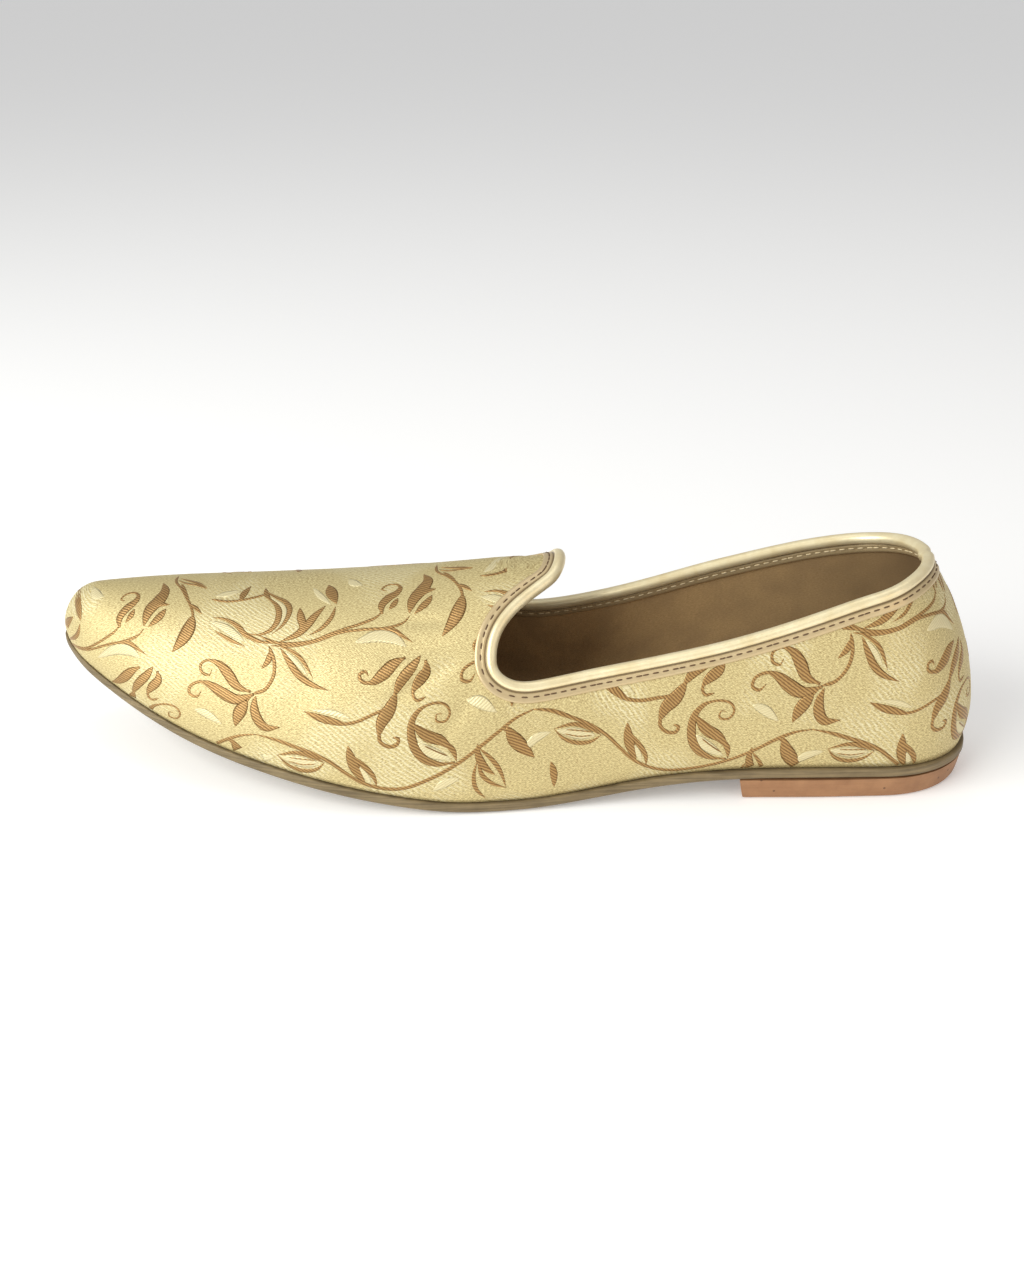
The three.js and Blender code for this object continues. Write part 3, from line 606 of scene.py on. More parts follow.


# %% [markdown]
# ## The vine, charted
# The brocade repeats every 84 mm along the shoe. One repeat is charted here as strokes on the flat sheet,
# in millimetres. Each stroke has a kind, its greatest width, and the points of its centre line. A `stem`
# keeps its width, a `leaf` swells and ends in a point, a `curl` is a leaf whose tail thins into a spiral,
# and `silver` is a pale float of thread, often inside an outlined leaf.

# %% The chart of one repeat
REPEAT_ALONG = 84.0
REPEAT_UP = 87.0
CHART = [
    # the fork that hangs from the ridge, and its long leaf
    ("stem", 1.0, [(-107, 84), (-107, 80), (-106, 76), (-103, 72), (-100, 67.5), (-98.2, 63),
                   (-98.2, 59)]),
    ("leaf", 4.8, [(-98, 62.5), (-98.8, 57.5), (-100.5, 53.5), (-103.6, 49.2)]),
    ("leaf", 1.6, [(-105.5, 80.5), (-102, 78), (-99, 76.4), (-95.4, 74.2)]),
    ("leaf", 1.2, [(-106, 78.5), (-103, 76.2), (-99.5, 75.4), (-95.6, 74)]),
    ("stem", 0.8, [(-104.5, 75.6), (-102.4, 72.4), (-100.6, 69)]),
    ("leaf", 1.6, [(-100, 67.2), (-97.6, 65.6), (-95.2, 63.2)]),
    # the crescent under the ridge
    ("stem", 1.0, [(-93, 69.6), (-88, 69.3), (-83.5, 70.4), (-79.5, 72), (-75.6, 74)]),
    ("leaf", 2.4, [(-83.6, 70.2), (-83, 73), (-81.4, 76.6)]),
    ("silver", 2.6, [(-92, 71), (-88, 72.5), (-84.2, 74.4)]),
    ("leaf", 1.9, [(-76.4, 75.4), (-72.6, 73), (-69.2, 70.6), (-67.4, 67), (-67.5, 63), (-69, 58.8),
                   (-72, 55.2)]),
    ("leaf", 2.2, [(-75.8, 73), (-72.4, 70), (-70.7, 66), (-70.7, 61), (-72.6, 57), (-76, 55.2),
                   (-80, 55.8)]),
    ("silver", 1.6, [(-74, 72.6), (-70.8, 70), (-69, 66.5), (-69, 62), (-70.4, 58)]),
    ("leaf", 2.0, [(-76.4, 76.4), (-75.4, 73.4), (-73.8, 71.6)]),
    # the outlined leaf that points to the toe
    ("leaf", 2.1, [(-91.5, 62.2), (-87, 61.6), (-83, 58.8), (-80.6, 55.6), (-76, 52.7), (-70, 51.4)]),
    ("leaf", 1.4, [(-90.4, 56.8), (-87, 54.6), (-83.6, 52.6), (-80.2, 51)]),
    ("silver", 3.6, [(-92.5, 60.4), (-88, 58.6), (-84, 55.6), (-80.4, 52.6)]),
    # the main stems from the junction to the pair of leaves
    ("stem", 1.2, [(-76, 54.8), (-71, 52), (-65, 51.2), (-59, 52), (-54, 54), (-49, 55.6), (-44, 57),
                   (-40, 58.6), (-38.2, 61)]),
    ("stem", 1.1, [(-72, 50.8), (-65, 50.4), (-58, 51.8), (-51, 54.2), (-44, 54.6), (-37, 54.3),
                   (-32, 55.4), (-29.8, 57.6)]),
    ("leaf", 1.5, [(-40, 54.4), (-35, 53.6), (-31.6, 51), (-28.4, 48.6)]),
    ("silver", 4.6, [(-46, 50.4), (-39.6, 52), (-34.4, 50.6), (-30.4, 47.6)]),
    ("curl", 3.3, [(-38.3, 59.5), (-38.6, 63), (-36.8, 65.8), (-34.4, 67.6), (-33.5, 70), (-35, 72),
                   (-37.8, 72), (-39.2, 70.2), (-37.8, 69.2)]),
    ("leaf", 2.2, [(-34, 65), (-34.8, 63), (-36.3, 60.8)]),
    ("leaf", 4.6, [(-30, 58.6), (-29, 63.4), (-26.4, 67.6), (-25.1, 71.6), (-26.6, 76.4)]),
    ("leaf", 3.2, [(-29.4, 62.4), (-26.4, 66), (-22.4, 66.6)]),
    ("leaf", 2.7, [(-23.4, 64.2), (-25, 61.4), (-28.4, 58)]),
    # the upright leaves over the junction
    ("leaf", 2.8, [(-64.2, 66.4), (-63.5, 62), (-62.6, 58), (-63.6, 54.6)]),
    ("leaf", 3.2, [(-56.2, 66), (-59, 62.2), (-61.4, 58), (-64.4, 54.4), (-69.4, 52)]),
    ("leaf", 1.7, [(-53, 65), (-54, 60.4), (-56.6, 56.6), (-60.6, 54)]),
    ("leaf", 3.8, [(-56.3, 76.8), (-54.8, 72), (-52.8, 66.4)]),
    ("silver", 2.2, [(-61, 76.4), (-58.4, 71.6), (-54.6, 66.2)]),
    ("silver", 3.4, [(-50, 79), (-48, 75.6), (-45.4, 74)]),
    # the long outlined leaf under the junction
    ("leaf", 1.3, [(-69.8, 50.6), (-65.6, 48.8), (-62.4, 46.2), (-60, 42.8), (-58.4, 40)]),
    ("leaf", 2.3, [(-69, 49.8), (-66, 45.4), (-63, 41.4), (-59, 38.4), (-53.4, 36.4)]),
    ("silver", 1.7, [(-67.4, 48.6), (-63.6, 45), (-60, 40.8)]),
    # the fleur with its two curls and two hanging leaves
    ("stem", 1.2, [(-77, 35.6), (-73, 37), (-70.6, 41), (-70.6, 45.6), (-72.6, 50.6)]),
    ("leaf", 2.2, [(-72.2, 49), (-72.4, 46), (-74.4, 43.4)]),
    ("curl", 3.6, [(-77.6, 36.2), (-82, 38), (-85, 42), (-88, 45.2), (-91.6, 46.5), (-94, 45),
                   (-93.4, 42.4), (-91, 41.5), (-90.4, 43.2)]),
    ("curl", 4.0, [(-76.6, 35.4), (-82, 33.8), (-86.4, 35.6), (-90.4, 38.2), (-94, 39.3), (-97.2, 37.8),
                   (-97.4, 35.2), (-95, 34.3), (-93.6, 36)]),
    ("leaf", 4.4, [(-78.6, 33.4), (-80.6, 30.6), (-81.8, 28), (-82.6, 25)]),
    ("stem", 0.7, [(-77, 35.6), (-78, 34.2), (-79.2, 32.4)]),
    ("leaf", 3.4, [(-76, 35), (-76.4, 31.4), (-75.4, 27.8), (-72.8, 25.2), (-68.4, 25.4)]),
    # the group of three leaves with the long drop
    ("leaf", 3.7, [(-26, 44.4), (-28.2, 41.4), (-31.4, 38), (-33.8, 33.6)]),
    ("leaf", 4.3, [(-33, 35), (-34.8, 30.6), (-37.2, 27), (-38.2, 22.6)]),
    ("stem", 1.2, [(-38.1, 24.6), (-37.6, 21.6), (-35.2, 20.1), (-32.6, 20.5), (-32.2, 22.2),
                   (-33.8, 22.5)]),
    ("curl", 4.3, [(-30.6, 44.4), (-34, 42.8), (-37, 40.2), (-40.4, 38.1), (-43.4, 38.6), (-44.1, 40.6),
                   (-42.4, 41.3), (-41.5, 40)]),
    ("curl", 3.6, [(-24.4, 42.8), (-24.2, 39.6), (-26.8, 36.6), (-28, 34.2), (-26.8, 32.2),
                   (-24.2, 32.8)]),
    ("stem", 1.0, [(-34.6, 31.2), (-40, 29.2), (-45, 27.3), (-50, 26.8), (-54, 27.6)]),
    ("leaf", 2.4, [(-48, 26.9), (-52, 27.6), (-56, 28.6), (-60.8, 30.4)]),
    ("silver", 1.8, [(-46.6, 28.4), (-52, 30), (-58.6, 30.9)]),
    # the paisley with its curl
    ("curl", 2.9, [(-15.4, 13.2), (-20, 13.5), (-24.2, 15.4), (-27, 18.6), (-28.3, 22.6), (-28.2, 26.4),
                   (-26, 29.6), (-22, 30.9), (-18.4, 30.2), (-16.9, 27.8), (-18.2, 25.7), (-20.8, 26),
                   (-20.8, 27.9), (-19.3, 27.8)]),
    ("leaf", 3.6, [(-28, 26), (-24, 22.4), (-19.4, 20.2), (-15.8, 17)]),
    ("leaf", 1.8, [(-19, 20), (-16, 17), (-14.8, 13.4)]),
    ("silver", 3.0, [(-12, 30), (-8, 28.6), (-3, 25.4)]),
    ("silver", 3.2, [(-78.6, 11.4), (-75, 14.4), (-70.4, 15.8)]),
    ("silver", 3.0, [(-22, 5.6), (-18, 7.4), (-14, 8)]),
    ("silver", 3.4, [(-26.4, 20.4), (-22.6, 17.4), (-16.6, 14.4)]),
    ("stem", 0.5, [(-24.4, 19.4), (-21, 17.4), (-17.6, 15.6)]),
    # the long vine under it all
    ("stem", 1.25, [(-76, 22.8), (-70, 21.6), (-64, 19.8), (-58, 17.9), (-52.6, 15.4), (-48, 12.2),
                    (-43, 9.2), (-37, 7.5), (-31, 7.3), (-25, 8.8), (-19, 10.8), (-13, 13.4), (-7, 16.8),
                    (-2, 19.9), (3, 22), (8, 22.8)]),
    ("leaf", 1.5, [(-54.6, 15.4), (-57.4, 12.9), (-61.6, 12.1), (-66, 13.4), (-69.4, 16.6)]),
    ("leaf", 1.5, [(-54.6, 15.4), (-58.6, 17), (-63.6, 17.9), (-69.4, 16.6)]),
    ("silver", 3.8, [(-56.4, 15), (-61.6, 15), (-68.4, 16)]),
    ("stem", 0.5, [(-57.4, 14.8), (-61.6, 14.2), (-66, 14.9)]),
    ("stem", 0.5, [(-57.4, 15.9), (-61.6, 16), (-65.6, 16.2)]),
    ("leaf", 3.5, [(-47.4, 20.6), (-46.4, 16.6), (-44.6, 12.6), (-42.4, 9.4)]),
    ("leaf", 1.9, [(-46.6, 18), (-42.6, 14.6), (-39.8, 11.4), (-38.8, 7.8)]),
    ("silver", 2.1, [(-44.4, 14.4), (-42.4, 12), (-40.6, 9)]),
    ("leaf", 4.4, [(0, 20.4), (1.8, 16.8), (4.6, 13.2), (9, 8.6)]),
    ("stem", 0.8, [(-1.4, 20.4), (0.4, 18.8), (1.4, 17)]),
    ("leaf", 2.4, [(-8.6, 17.4), (-8.4, 13.6), (-6.4, 9.6), (-3.4, 6.4)]),
    ("leaf", 1.4, [(-8.2, 16), (-4.4, 11.6), (-1.8, 7), (0, 1)]),
    ("leaf", 1.4, [(-8.6, 13), (-7.4, 7.6), (-4, 3.6), (0, 1)]),
    ("leaf", 1.4, [(-8.8, 12), (-9.8, 7.4), (-9, 3), (-6, -1.4)]),
    ("leaf", 2.6, [(14.4, 6.4), (15.6, 2.6), (16, -2)]),
]
print(len(CHART), "strokes in one repeat")


# %% [markdown]
# ## Weave the vine
# Each stroke becomes a slim closed strip of thread that stands about a tenth of a millimetre proud of the
# cloth and is rooted under it. It's geometry and not paint, so it holds its edge close up. A strip is cut
# where the sheet ends. The section is drawn in shares of the stroke's own half width and of its lift.

# %% Strips of thread
SECTION = [(-1.0, -0.09), (-0.6, 0.75), (0.0, 1.0), (0.6, 0.75), (1.0, -0.09), (0.0, -1.2)]
STEP = 0.75
BLUNT = 0.25  # how wide a stem starts and ends
TAPER = 8  # how fast it reaches its full width
FINEST = 0.08  # no stroke gets thinner than this
CURL_BODY = 0.68  # where a curl's body ends and its tail goes on
CURL_TAIL = 0.27
VINE_LIFT, SILVER_LIFT = 0.12, 0.05
REPEATS_ALONG, REPEATS_UP = range(-1, 4), range(0, 3)


def smooth_line(points, step):
    """Points every step or so along a smooth curve through the given ones."""
    points = [Vector(p) for p in points]
    ends = [2 * points[0] - points[1], *points, 2 * points[-1] - points[-2]]
    line = []
    for before, a, b, after in zip(ends, ends[1:], ends[2:], ends[3:]):
        count = max(2, round((b - a).length / step))
        for i in range(count):
            t = i / count
            line.append(0.5 * ((2 * a) + (b - before) * t + (2 * before - 5 * a + 4 * b - after) * t * t
                               + (3 * a - before - 3 * b + after) * t ** 3))
    line.append(points[-1])
    return line


def half_width(kind, share):
    """The stroke's half width, of 1, at a share of its length."""
    if kind == "stem":
        return min(1.0, BLUNT + TAPER * share, BLUNT + TAPER * (1 - share))
    if kind == "curl":
        body = math.sin(math.pi * (share / CURL_BODY) ** 0.9) if share < CURL_BODY else 0.0
        return max(FINEST, body, CURL_TAIL * min(1.0, 0.2 + 9 * (1 - share)))
    return max(FINEST, math.sin(math.pi * share ** 0.9) ** 0.8)


def finish_mesh(work, name):
    """Turns what was drawn into a smooth-shaded piece of the scene."""
    bmesh.ops.recalc_face_normals(work, faces=work.faces)
    mesh = bpy.data.meshes.new(name)
    work.to_mesh(mesh)
    work.free()
    for face in mesh.polygons:
        face.use_smooth = True
    piece = bpy.data.objects.new(name, mesh)
    scene.collection.objects.link(piece)
    return piece


def weave_stroke(work, layer, stroke, shift, lift):
    """Adds one stroke's strip; says 1 if it lies on the cloth, else 0."""
    kind, width, points = stroke
    line = smooth_line(points, STEP)
    last = len(line) - 1
    rings = []
    for i, point in enumerate(line):
        ahead = line[min(i + 1, last)] - line[max(i - 1, 0)]
        across = Vector((-ahead.y, ahead.x)).normalized() * (width / 2 * half_width(kind, i / last))
        ring = []
        for side, rise in SECTION:
            flat = point + across * side + Vector(shift)
            found = sheet.find(flat.x, flat.y)
            if found is None:
                break
            ring.append((found[0] + found[1] * (rise * lift * MM), flat))
        if len(ring) == len(SECTION):
            rings.append(ring)
        elif len(rings) > 2:
            break
        else:
            rings = []
    if len(rings) < 3:
        return 0
    made = [[(work.verts.new(place), flat) for place, flat in ring] for ring in rings]
    size = len(SECTION)
    faces = [[made[i][j], made[i][(j + 1) % size], made[i + 1][(j + 1) % size], made[i + 1][j]]
             for i in range(len(made) - 1) for j in range(size)]
    faces += [list(reversed(made[0])), list(made[-1])]
    for corners in faces:
        face = work.faces.new([vertex for vertex, _ in corners])
        for loop, (_, flat) in zip(face.loops, corners):
            loop[layer].uv = flat / SHEET
    return 1


def weave_vine(name, kinds, lift):
    work = bmesh.new()
    layer = work.loops.layers.uv.new("cloth")
    strokes = [stroke for stroke in CHART if stroke[0] in kinds]
    count = 0
    for along in REPEATS_ALONG:
        for up in REPEATS_UP:
            shift = (along * REPEAT_ALONG, up * REPEAT_UP)
            count += sum(weave_stroke(work, layer, stroke, shift, lift) for stroke in strokes)
    piece = finish_mesh(work, name)
    print(name, count, "strokes,", len(piece.data.polygons), "faces")
    return piece


vine = weave_vine("woven_vine", ("stem", "leaf", "curl"), VINE_LIFT)
floats = weave_vine("silver_floats", ("silver",), SILVER_LIFT)


# %% [markdown]
# ## The line of the opening
# The binding follows the open edge of the outer skin, so that edge is read while the skin is still one
# thin sheet: evenly spaced places, each with the skin's smoothed normal and the way along the edge.

# %% Follow the opening
BINDING_PITCH = 1.0
SMOOTHINGS = 8


def opening_line(mesh):
    """The place, normal and way ahead at each step round the skin's upper edge."""
    loop = boundary_loops(mesh)[-1]
    places = [mesh.vertices[v].co.copy() for v in loop]
    normals = [mesh.vertices[v].normal.copy() for v in loop]
    lengths = [(b - a).length for a, b in zip(places, places[1:] + places[:1])]
    total = sum(lengths)
    count = round(total / MM / BINDING_PITCH)
    line, passed, i = [], 0.0, 0
    for k in range(count):
        goal = total * k / count
        while passed + lengths[i] < goal:
            passed += lengths[i]
            i += 1
        share = (goal - passed) / lengths[i]
        j = (i + 1) % len(places)
        line.append([places[i].lerp(places[j], share), normals[i].lerp(normals[j], share)])
    for _ in range(SMOOTHINGS):
        smoothed = [(line[k - 1][1] + 2 * line[k][1] + line[(k + 1) % count][1]).normalized()
                    for k in range(count)]
        for k in range(count):
            line[k][1] = smoothed[k]
    ahead = [(line[(k + 1) % count][0] - line[k - 1][0]).normalized() for k in range(count)]
    print("opening", round(total / MM), "mm round, in", count, "steps")
    return [(place, normal, way) for (place, normal), way in zip(line, ahead)]


opening = opening_line(upper.data)
skin_tree = BVHTree.FromPolygons([v.co for v in upper.data.vertices],
                                 [tuple(f.vertices) for f in upper.data.polygons])


# %% [markdown]
# ## Give the skins their thickness
# Solidify grows each skin away from the side that shows, so the faces that were fitted stay where they
# are.

# %% Thickness
BROCADE_THICKNESS, LINING_THICKNESS = 0.8, 0.5
for piece, thickness in ((upper, BROCADE_THICKNESS), (lining, LINING_THICKNESS)):
    apply_modifier(piece, "SOLIDIFY", thickness=thickness * MM, offset=-1.0)
    piece.data.shade_smooth()
print("brocade box:", [round(d / MM, 1) for d in upper.dimensions])


# %% [markdown]
# ## The binding
# A strip of soft gilt leather is folded over the whole edge of the opening. Outside it shows a rounded
# roll, then a crease, then a flat leg with a row of stitches, and the same inside. Its section is drawn
# once, as a distance down from the edge and a height off the skin in millimetres, and it is carried round
# the opening. The legs lie on the skin itself, so they bend with it.

# %% Fold the strip
WALL = 1.6
OUTER_LEG = [(5.6, 0.05), (5.58, 0.36), (5.35, 0.58), (4.8, 0.62), (4.2, 0.56), (3.75, 0.40),
             (3.3, 0.56), (2.8, 0.5), (2.5, 0.2), (2.3, 0.1), (2.1, 0.4), (1.8, 0.9), (1.2, 1.2),
             (0.5, 1.16), (-0.2, 0.9)]
FOLD = [(-0.7, 0.4), (-0.95, -0.3), (-1.0, -0.8), (-0.95, -1.3), (-0.7, -2.0)]
INNER_LEG = [(down, -WALL - rise) for down, rise in reversed(OUTER_LEG)]
UNDERSIDE = [(5.5, -WALL - 0.02), (0.1, -WALL + 0.05), (0.1, -0.05), (5.5, 0.02)]
GROOVE = (2.3, 0.1)
EDGE_ZONE = 0.3  # nearer the edge than this, the strip's places aren't drawn to the skin
PROBE = 4.0


def lengths_round(section):
    """The length in mm from the section's first point to each of its points, over the strip's face."""
    return np.append(0.0, np.cumsum([math.dist(a, b) for a, b in zip(section, section[1:])]))


AROUND = lengths_round(OUTER_LEG + FOLD + INNER_LEG + UNDERSIDE)
STRIP_WIDTH = float(AROUND[2 * len(OUTER_LEG) + len(FOLD) - 1])
CREASE_AT = float(AROUND[OUTER_LEG.index(GROOVE)])
print("strip", round(STRIP_WIDTH, 1), "mm wide, creased at", round(CREASE_AT, 1), "mm")


def skin_point(place, down, distance):
    """The point of the skin that lies a distance in mm down from the edge."""
    point = place + down * (distance * MM)
    if distance <= EDGE_ZONE:
        return point
    return skin_tree.find_nearest(point)[0]


def ways_down():
    """The way down the skin at each place of the opening, the same hand round all of it."""
    ways = [normal.cross(ahead).normalized() for _, normal, ahead in opening]
    on_skin = 0
    for (place, _, _), way in zip(opening, ways):
        step = way * (PROBE * MM)
        on_skin += skin_tree.find_nearest(place + step)[3] < skin_tree.find_nearest(place - step)[3]
    return ways if on_skin > len(ways) / 2 else [-way for way in ways]


downs = ways_down()


def fold_strip(name):
    section = OUTER_LEG + FOLD + INNER_LEG + UNDERSIDE
    work = bmesh.new()
    layer = work.loops.layers.uv.new("cloth")
    rings = []
    for (place, normal, _), down in zip(opening, downs):
        ring = [work.verts.new(skin_point(place, down, w) + normal * (h * MM)) for w, h in section]
        rings.append(ring)
    size, count = len(section), len(rings)
    for i in range(count):
        for j in range(size):
            corners = [(i, j), (i, j + 1), (i + 1, j + 1), (i + 1, j)]
            face = work.faces.new([rings[a % count][b % size] for a, b in corners])
            for loop, (a, b) in zip(face.loops, corners):
                across = AROUND[b] if b < size else AROUND[-1] + 0.1
                loop[layer].uv = (a * BINDING_PITCH / SHEET, across / SHEET)
    piece = finish_mesh(work, name)
    print(name, len(piece.data.polygons), "faces")
    return piece


binding = fold_strip("edge_binding")


# %% [markdown]
# A stitch is a short length of thread: a six-sided rod whose ends are drawn in. One is laid at each step,
# in brown thread along the outer leg and in cream along the inner one.

# %% Stitches
STITCH_ROW = 3.75
STITCH_PITCH = 2.8
STITCH_LENGTH = 1.8
STITCH_RADIUS = 0.24
STITCH_RISE = 0.50
ROD = [(-1.0, 0.55), (-0.6, 1.0), (0.6, 1.0), (1.0, 0.55)]
ROD_SIDES = 6


def sew(name, rise):
    work = bmesh.new()
    count = len(opening)
    steps = round(count * BINDING_PITCH / STITCH_PITCH)
    for k in range(steps):
        spot = round(k * count / steps) % count
        place, normal, ahead = opening[spot]
        down = downs[spot]
        base = skin_point(place, down, STITCH_ROW)
        centre = base + normal * (rise * MM)
        rings = []
        for along, wide in ROD:
            spine = centre + ahead * (along * STITCH_LENGTH / 2 * MM)
            ring = []
            for i in range(ROD_SIDES):
                turn = i * 2 * math.pi / ROD_SIDES
                out = down * math.cos(turn) + normal * math.sin(turn)
                ring.append(work.verts.new(spine + out * (wide * STITCH_RADIUS * MM)))
            rings.append(ring)
        for ring, other in zip(rings, rings[1:]):
            for i in range(ROD_SIDES):
                j = (i + 1) % ROD_SIDES
                work.faces.new((ring[i], ring[j], other[j], other[i]))
        work.faces.new(rings[0])
        work.faces.new(rings[-1])
    print(name, steps, "stitches")
    return finish_mesh(work, name)


outer_stitches = sew("outer_stitches", STITCH_RISE)
inner_stitches = sew("inner_stitches", -WALL - STITCH_RISE)


# %% [markdown]
# ## Sole, heel and insole
# The leather parts are plates with a clean outline. Each is a copy of its CAD solid whose sharp edges are
# creased, so that subdivision rounds the outline and keeps the corners, and a small bevel then softens
# them.

# %% Leather plates
SHARP_EDGE, SMOOTH_UP_TO = 40.0, 35.0


def soften_plate(node, name, bevel_mm, levels):
    piece = start_copy(node, name)
    bpy.ops.object.mode_set(mode="EDIT")
    bpy.ops.mesh.select_mode(type="EDGE")
    bpy.ops.mesh.edges_select_sharp(sharpness=math.radians(SHARP_EDGE))
    bpy.ops.transform.edge_crease(value=1.0)
    bpy.ops.mesh.select_all(action="DESELECT")
    bpy.ops.object.mode_set(mode="OBJECT")
    while piece.data.uv_layers:
        piece.data.uv_layers.remove(piece.data.uv_layers[0])
    apply_modifier(piece, "SUBSURF", levels=levels, render_levels=levels)
    apply_modifier(piece, "BEVEL", width=bevel_mm * MM, segments=3, limit_method="ANGLE",
                   angle_limit=math.radians(SHARP_EDGE))
    bpy.ops.object.shade_smooth_by_angle(angle=math.radians(SMOOTH_UP_TO))
    print(name, len(piece.data.polygons), "faces")
    return piece


sole = soften_plate("outsole", "leather_sole", 0.35, 2)
heel = soften_plate("heel_block", "heel_lift", 0.5, 1)
sock = soften_plate("insole", "sock_lining", 0.4, 1)


# %% [markdown]
# ## The brocade's finish
# The ground is a pale gold twill. Its threads part light into bright and dull specks, and here and there
# a basket of paler thread shows. The pattern's thread is bronze, laid in satin, so fine slanting lines
# cross each leaf.

# %% Cloth materials
THREAD_PITCH = 0.9


def give(piece, material):
    piece.data.materials.clear()
    piece.data.materials.append(material)


def brocade_material():
    material, tree, shader = new_material("gold_brocade", Metallic=0.4, Roughness=0.45)
    place = cloth_mm(tree)
    weave = add_group(tree, WEAVE, {"Vector": place, "Pitch": 0.9, "Twill": 0.25})
    shade = weave.outputs["Shade"]
    ground = mix_colour(tree, shade, rgb(158, 135, 89), rgb(237, 223, 165))
    basket_at = remap(tree, noise(tree, place, 0.03, 2.0), 0.50, 0.60)
    stretched = stretch(tree, place, (0.55, 1.0, 1.0))
    basket = add_group(tree, WEAVE, {"Vector": stretched, "Pitch": 1.1, "Twill": 0.5})
    dash = remap(tree, basket.outputs["Height"], 0.45, 0.75)
    pale = times(tree, basket_at, dash)
    colour = mix_colour(tree, times(tree, pale, 0.7), ground, rgb(242, 236, 200))
    tree.links.new(colour, shader.inputs["Base Color"])
    rough = remap(tree, shade, 0.0, 1.0, 0.66, 0.44)
    tree.links.new(rough, shader.inputs["Roughness"])
    height = plus(tree, weave.outputs["Height"], times(tree, pale, 0.6))
    bump(tree, shader, height, 0.6, 0.16)
    return material


def thread_material(name, dark, bright, slant, metallic):
    material, tree, shader = new_material(name, Metallic=metallic, Roughness=0.42)
    place = cloth_mm(tree)
    split = add_node(tree, "ShaderNodeSeparateXYZ", {"Vector": place})
    wander = noise(tree, place, 0.8, 2.0)
    across = plus(tree, times(tree, split.outputs["X"], slant), split.outputs["Y"])
    across = plus(tree, times(tree, across, 2 * math.pi / THREAD_PITCH), times(tree, wander, 4.0))
    satin = remap(tree, maths(tree, "SINE", across), -1, 1)
    shade = mix_colour(tree, satin, dark, bright)
    tree.links.new(shade, shader.inputs["Base Color"])
    bump(tree, shader, satin, 0.6, 0.12)
    return material


def lining_material():
    material, tree, shader = new_material("lining_twill", Roughness=0.85)
    weave = add_group(tree, WEAVE, {"Vector": cloth_mm(tree), "Pitch": 0.7, "Twill": 0.6})
    colour = mix_colour(tree, weave.outputs["Shade"], rgb(180, 146, 98), rgb(212, 178, 128))
    faded = remap(tree, noise(tree, cloth_mm(tree), 0.07, 3.0), 0.42, 0.62)
    colour = mix_colour(tree, times(tree, faded, 0.35), colour, rgb(150, 124, 90))
    along = add_node(tree, "ShaderNodeSeparateXYZ", {"Vector": cloth_mm(tree)}).outputs["X"]
    # painted shade: the lining is darkened towards the heel, where the inside of the shoe lies in shade
    painted_heel_shade = remap(tree, along, 60.0, 135.0, 0.0, 0.8)
    colour = mix_colour(tree, painted_heel_shade, colour, rgb(98, 76, 48))
    tree.links.new(colour, shader.inputs["Base Color"])
    bump(tree, shader, weave.outputs["Height"], 0.4, 0.08)
    return material


give(upper, brocade_material())
give(vine, thread_material("bronze_thread", rgb(124, 92, 52), rgb(188, 150, 94), 0.6, 0.55))
give(floats, thread_material("silver_thread", rgb(212, 198, 150), rgb(226, 214, 172), -0.5, 0.35))
give(lining, lining_material())
print("cloth dressed")


# %% [markdown]
# ## Leather finishes
# The binding is a gilt leather with a fine grain, painted darker on its flat legs and in its crease as
# shade.
# The sole's edge is raw: layers of fibre show as fine level lines. The heel is one block of smooth tan
# leather with a few specks.

# %% Leather materials
# how wide the painted shade in the binding's crease is, in mm
CREASE_SHADE_WIDTH = 0.75


def gilt_material():
    material, tree, shader = new_material("gilt_leather", Metallic=0.45, Roughness=0.36)
    place = object_mm(tree)
    grain = add_group(tree, GRAIN, {"Vector": place, "Size": 0.7})
    mottle = remap(tree, grain.outputs["Mottle"], 0.3, 0.7)
    colour = mix_colour(tree, mottle, rgb(232, 214, 168), rgb(248, 236, 198))
    across = add_node(tree, "ShaderNodeSeparateXYZ", {"Vector": cloth_mm(tree)}).outputs["Y"]
    folded = maths(tree, "MINIMUM", across, maths(tree, "SUBTRACT", STRIP_WIDTH, across))
    # painted shade: the flat legs below the crease are darker than the rolled edge, which keeps its light
    painted_leg_shade = remap(tree, folded, CREASE_AT, CREASE_AT - 0.5)
    colour = mix_colour(tree, times(tree, painted_leg_shade, 0.8), colour, rgb(196, 172, 130))
    # painted shade: a dark band along the crease between roll and leg, where shade falls
    crease = maths(tree, "ABSOLUTE", maths(tree, "SUBTRACT", folded, CREASE_AT))
    painted_crease_shade = remap(tree, crease, CREASE_SHADE_WIDTH, CREASE_SHADE_WIDTH * 0.3, 0.0, 0.85)
    colour = mix_colour(tree, painted_crease_shade, colour, rgb(112, 88, 56))
    tree.links.new(colour, shader.inputs["Base Color"])
    bump(tree, shader, grain.outputs["Height"], 0.25, 0.06)
    return material


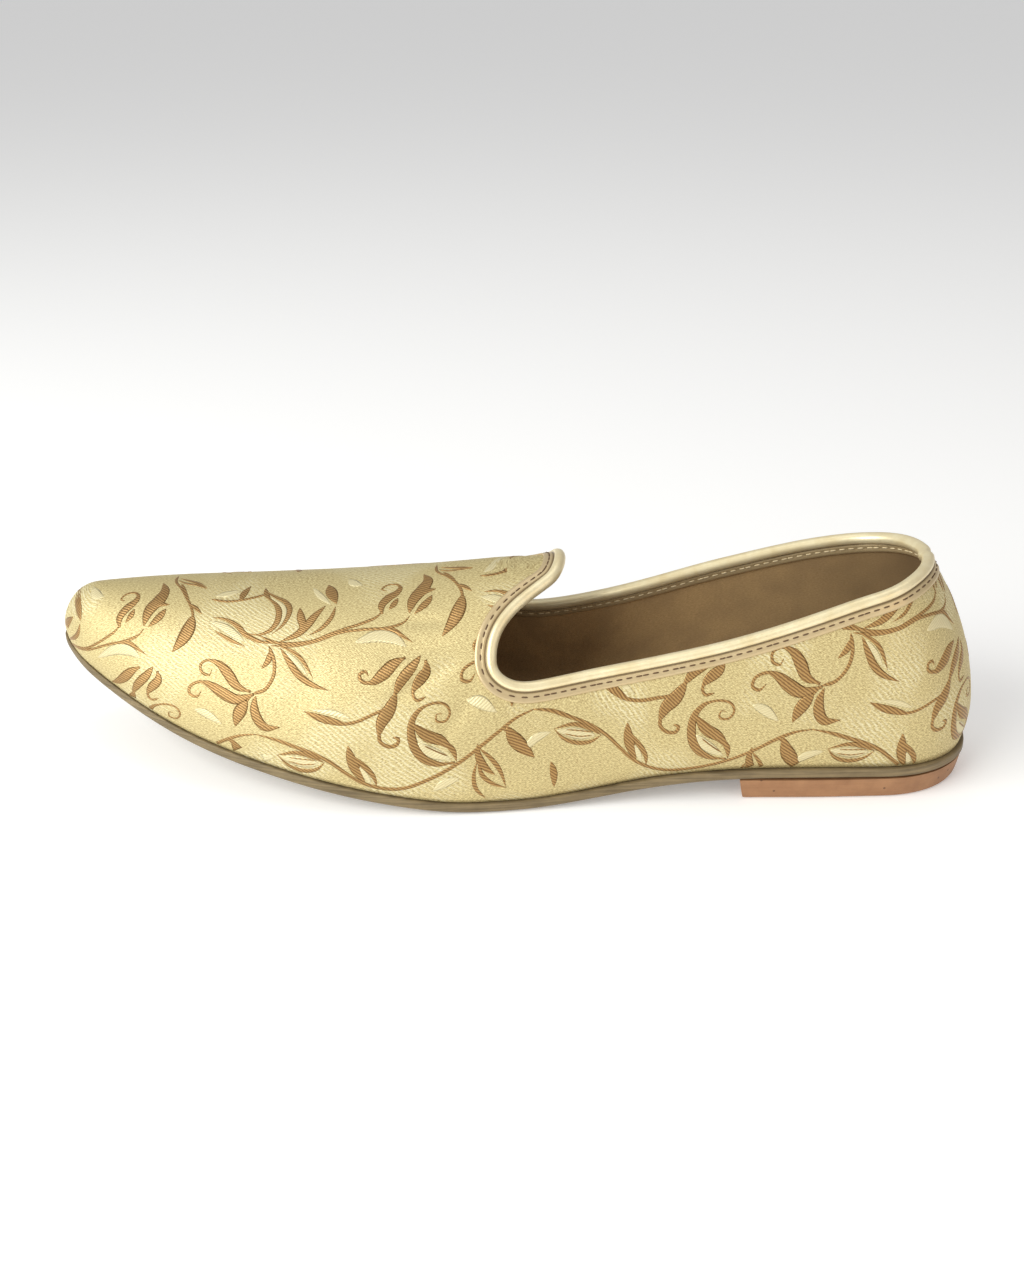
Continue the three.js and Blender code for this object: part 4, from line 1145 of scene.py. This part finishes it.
def raw_leather_material(name, dark, bright, layers, specks):
    material, tree, shader = new_material(name, Roughness=0.6)
    place = object_mm(tree)
    grain = add_group(tree, GRAIN, {"Vector": place, "Size": 0.8})
    fibre = noise(tree, stretch(tree, place, (0.05, 0.05, 1.6)), 1.0, 4.0)
    tone = plus(tree, times(tree, fibre, layers), times(tree, grain.outputs["Mottle"], 1 - layers))
    colour = mix_colour(tree, remap(tree, tone, 0.32, 0.68), dark, bright)
    dots = add_node(tree, "ShaderNodeTexVoronoi", {"Vector": place, "Scale": 0.22})
    speck = maths(tree, "LESS_THAN", dots.outputs["Distance"], specks)
    colour = mix_colour(tree, times(tree, speck, 0.7), colour, rgb(80, 52, 34))
    tree.links.new(colour, shader.inputs["Base Color"])
    ridges = times(tree, fibre, 2 * layers)
    height = plus(tree, grain.outputs["Height"], ridges)
    bump(tree, shader, height, 0.4, 0.1)
    return material


def stitch_material(name, dark, bright):
    material, tree, shader = new_material(name, Roughness=0.7)
    twist = noise(tree, object_mm(tree), 3.0, 1.0)
    colour = mix_colour(tree, twist, dark, bright)
    tree.links.new(colour, shader.inputs["Base Color"])
    bump(tree, shader, twist, 0.5, 0.1)
    return material


give(binding, gilt_material())
give(outer_stitches, stitch_material("brown_thread", rgb(70, 50, 32), rgb(116, 88, 58)))
give(inner_stitches, stitch_material("cream_thread", rgb(206, 186, 146), rgb(240, 226, 190)))
give(sole, raw_leather_material("sole_leather", rgb(92, 78, 52), rgb(142, 124, 90), 0.7, 0.0))
give(heel, raw_leather_material("heel_leather", rgb(146, 104, 70), rgb(170, 126, 88), 0.25, 0.09))
give(sock, raw_leather_material("sock_leather", rgb(104, 82, 58), rgb(140, 114, 82), 0.0, 0.0))
print("leather dressed")


# %% [markdown]
# ## Floor
# A plain pale floor, far wider than the main view. From low down its horizon shows.

# %% Floor
def add_floor():
    bpy.ops.object.select_all(action="DESELECT")
    bpy.ops.mesh.primitive_plane_add(size=30.0, location=(0, 0, -0.0004))
    floor = bpy.context.object
    floor.name = "floor"
    material, _, shader = new_material("pale_floor", Base_Color=(0.92, 0.92, 0.92, 1), Roughness=0.9,
                                       Emission_Color=(1, 1, 1, 1), Emission_Strength=0.22)
    give(floor, material)


add_floor()

# %% [markdown]
# ## Ride and replace
# Every piece rides on the shoe's one body. Five of them stand for the five CAD nodes.

# %% Ride and replace
HANDOVER = [(upper, "upper", "brocade"), (vine, None, "brocade"), (floats, None, "brocade"),
            (lining, None, "lining"), (binding, "collar_binding", "binding"),
            (outer_stitches, None, "thread"), (inner_stitches, None, "thread"),
            (sole, "outsole", "sole_leather"), (heel, "heel_block", "heel_leather"),
            (sock, "insole", "insole")]
for piece, node, slot in HANDOVER:
    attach(piece, "root")
    if node:
        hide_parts(node)
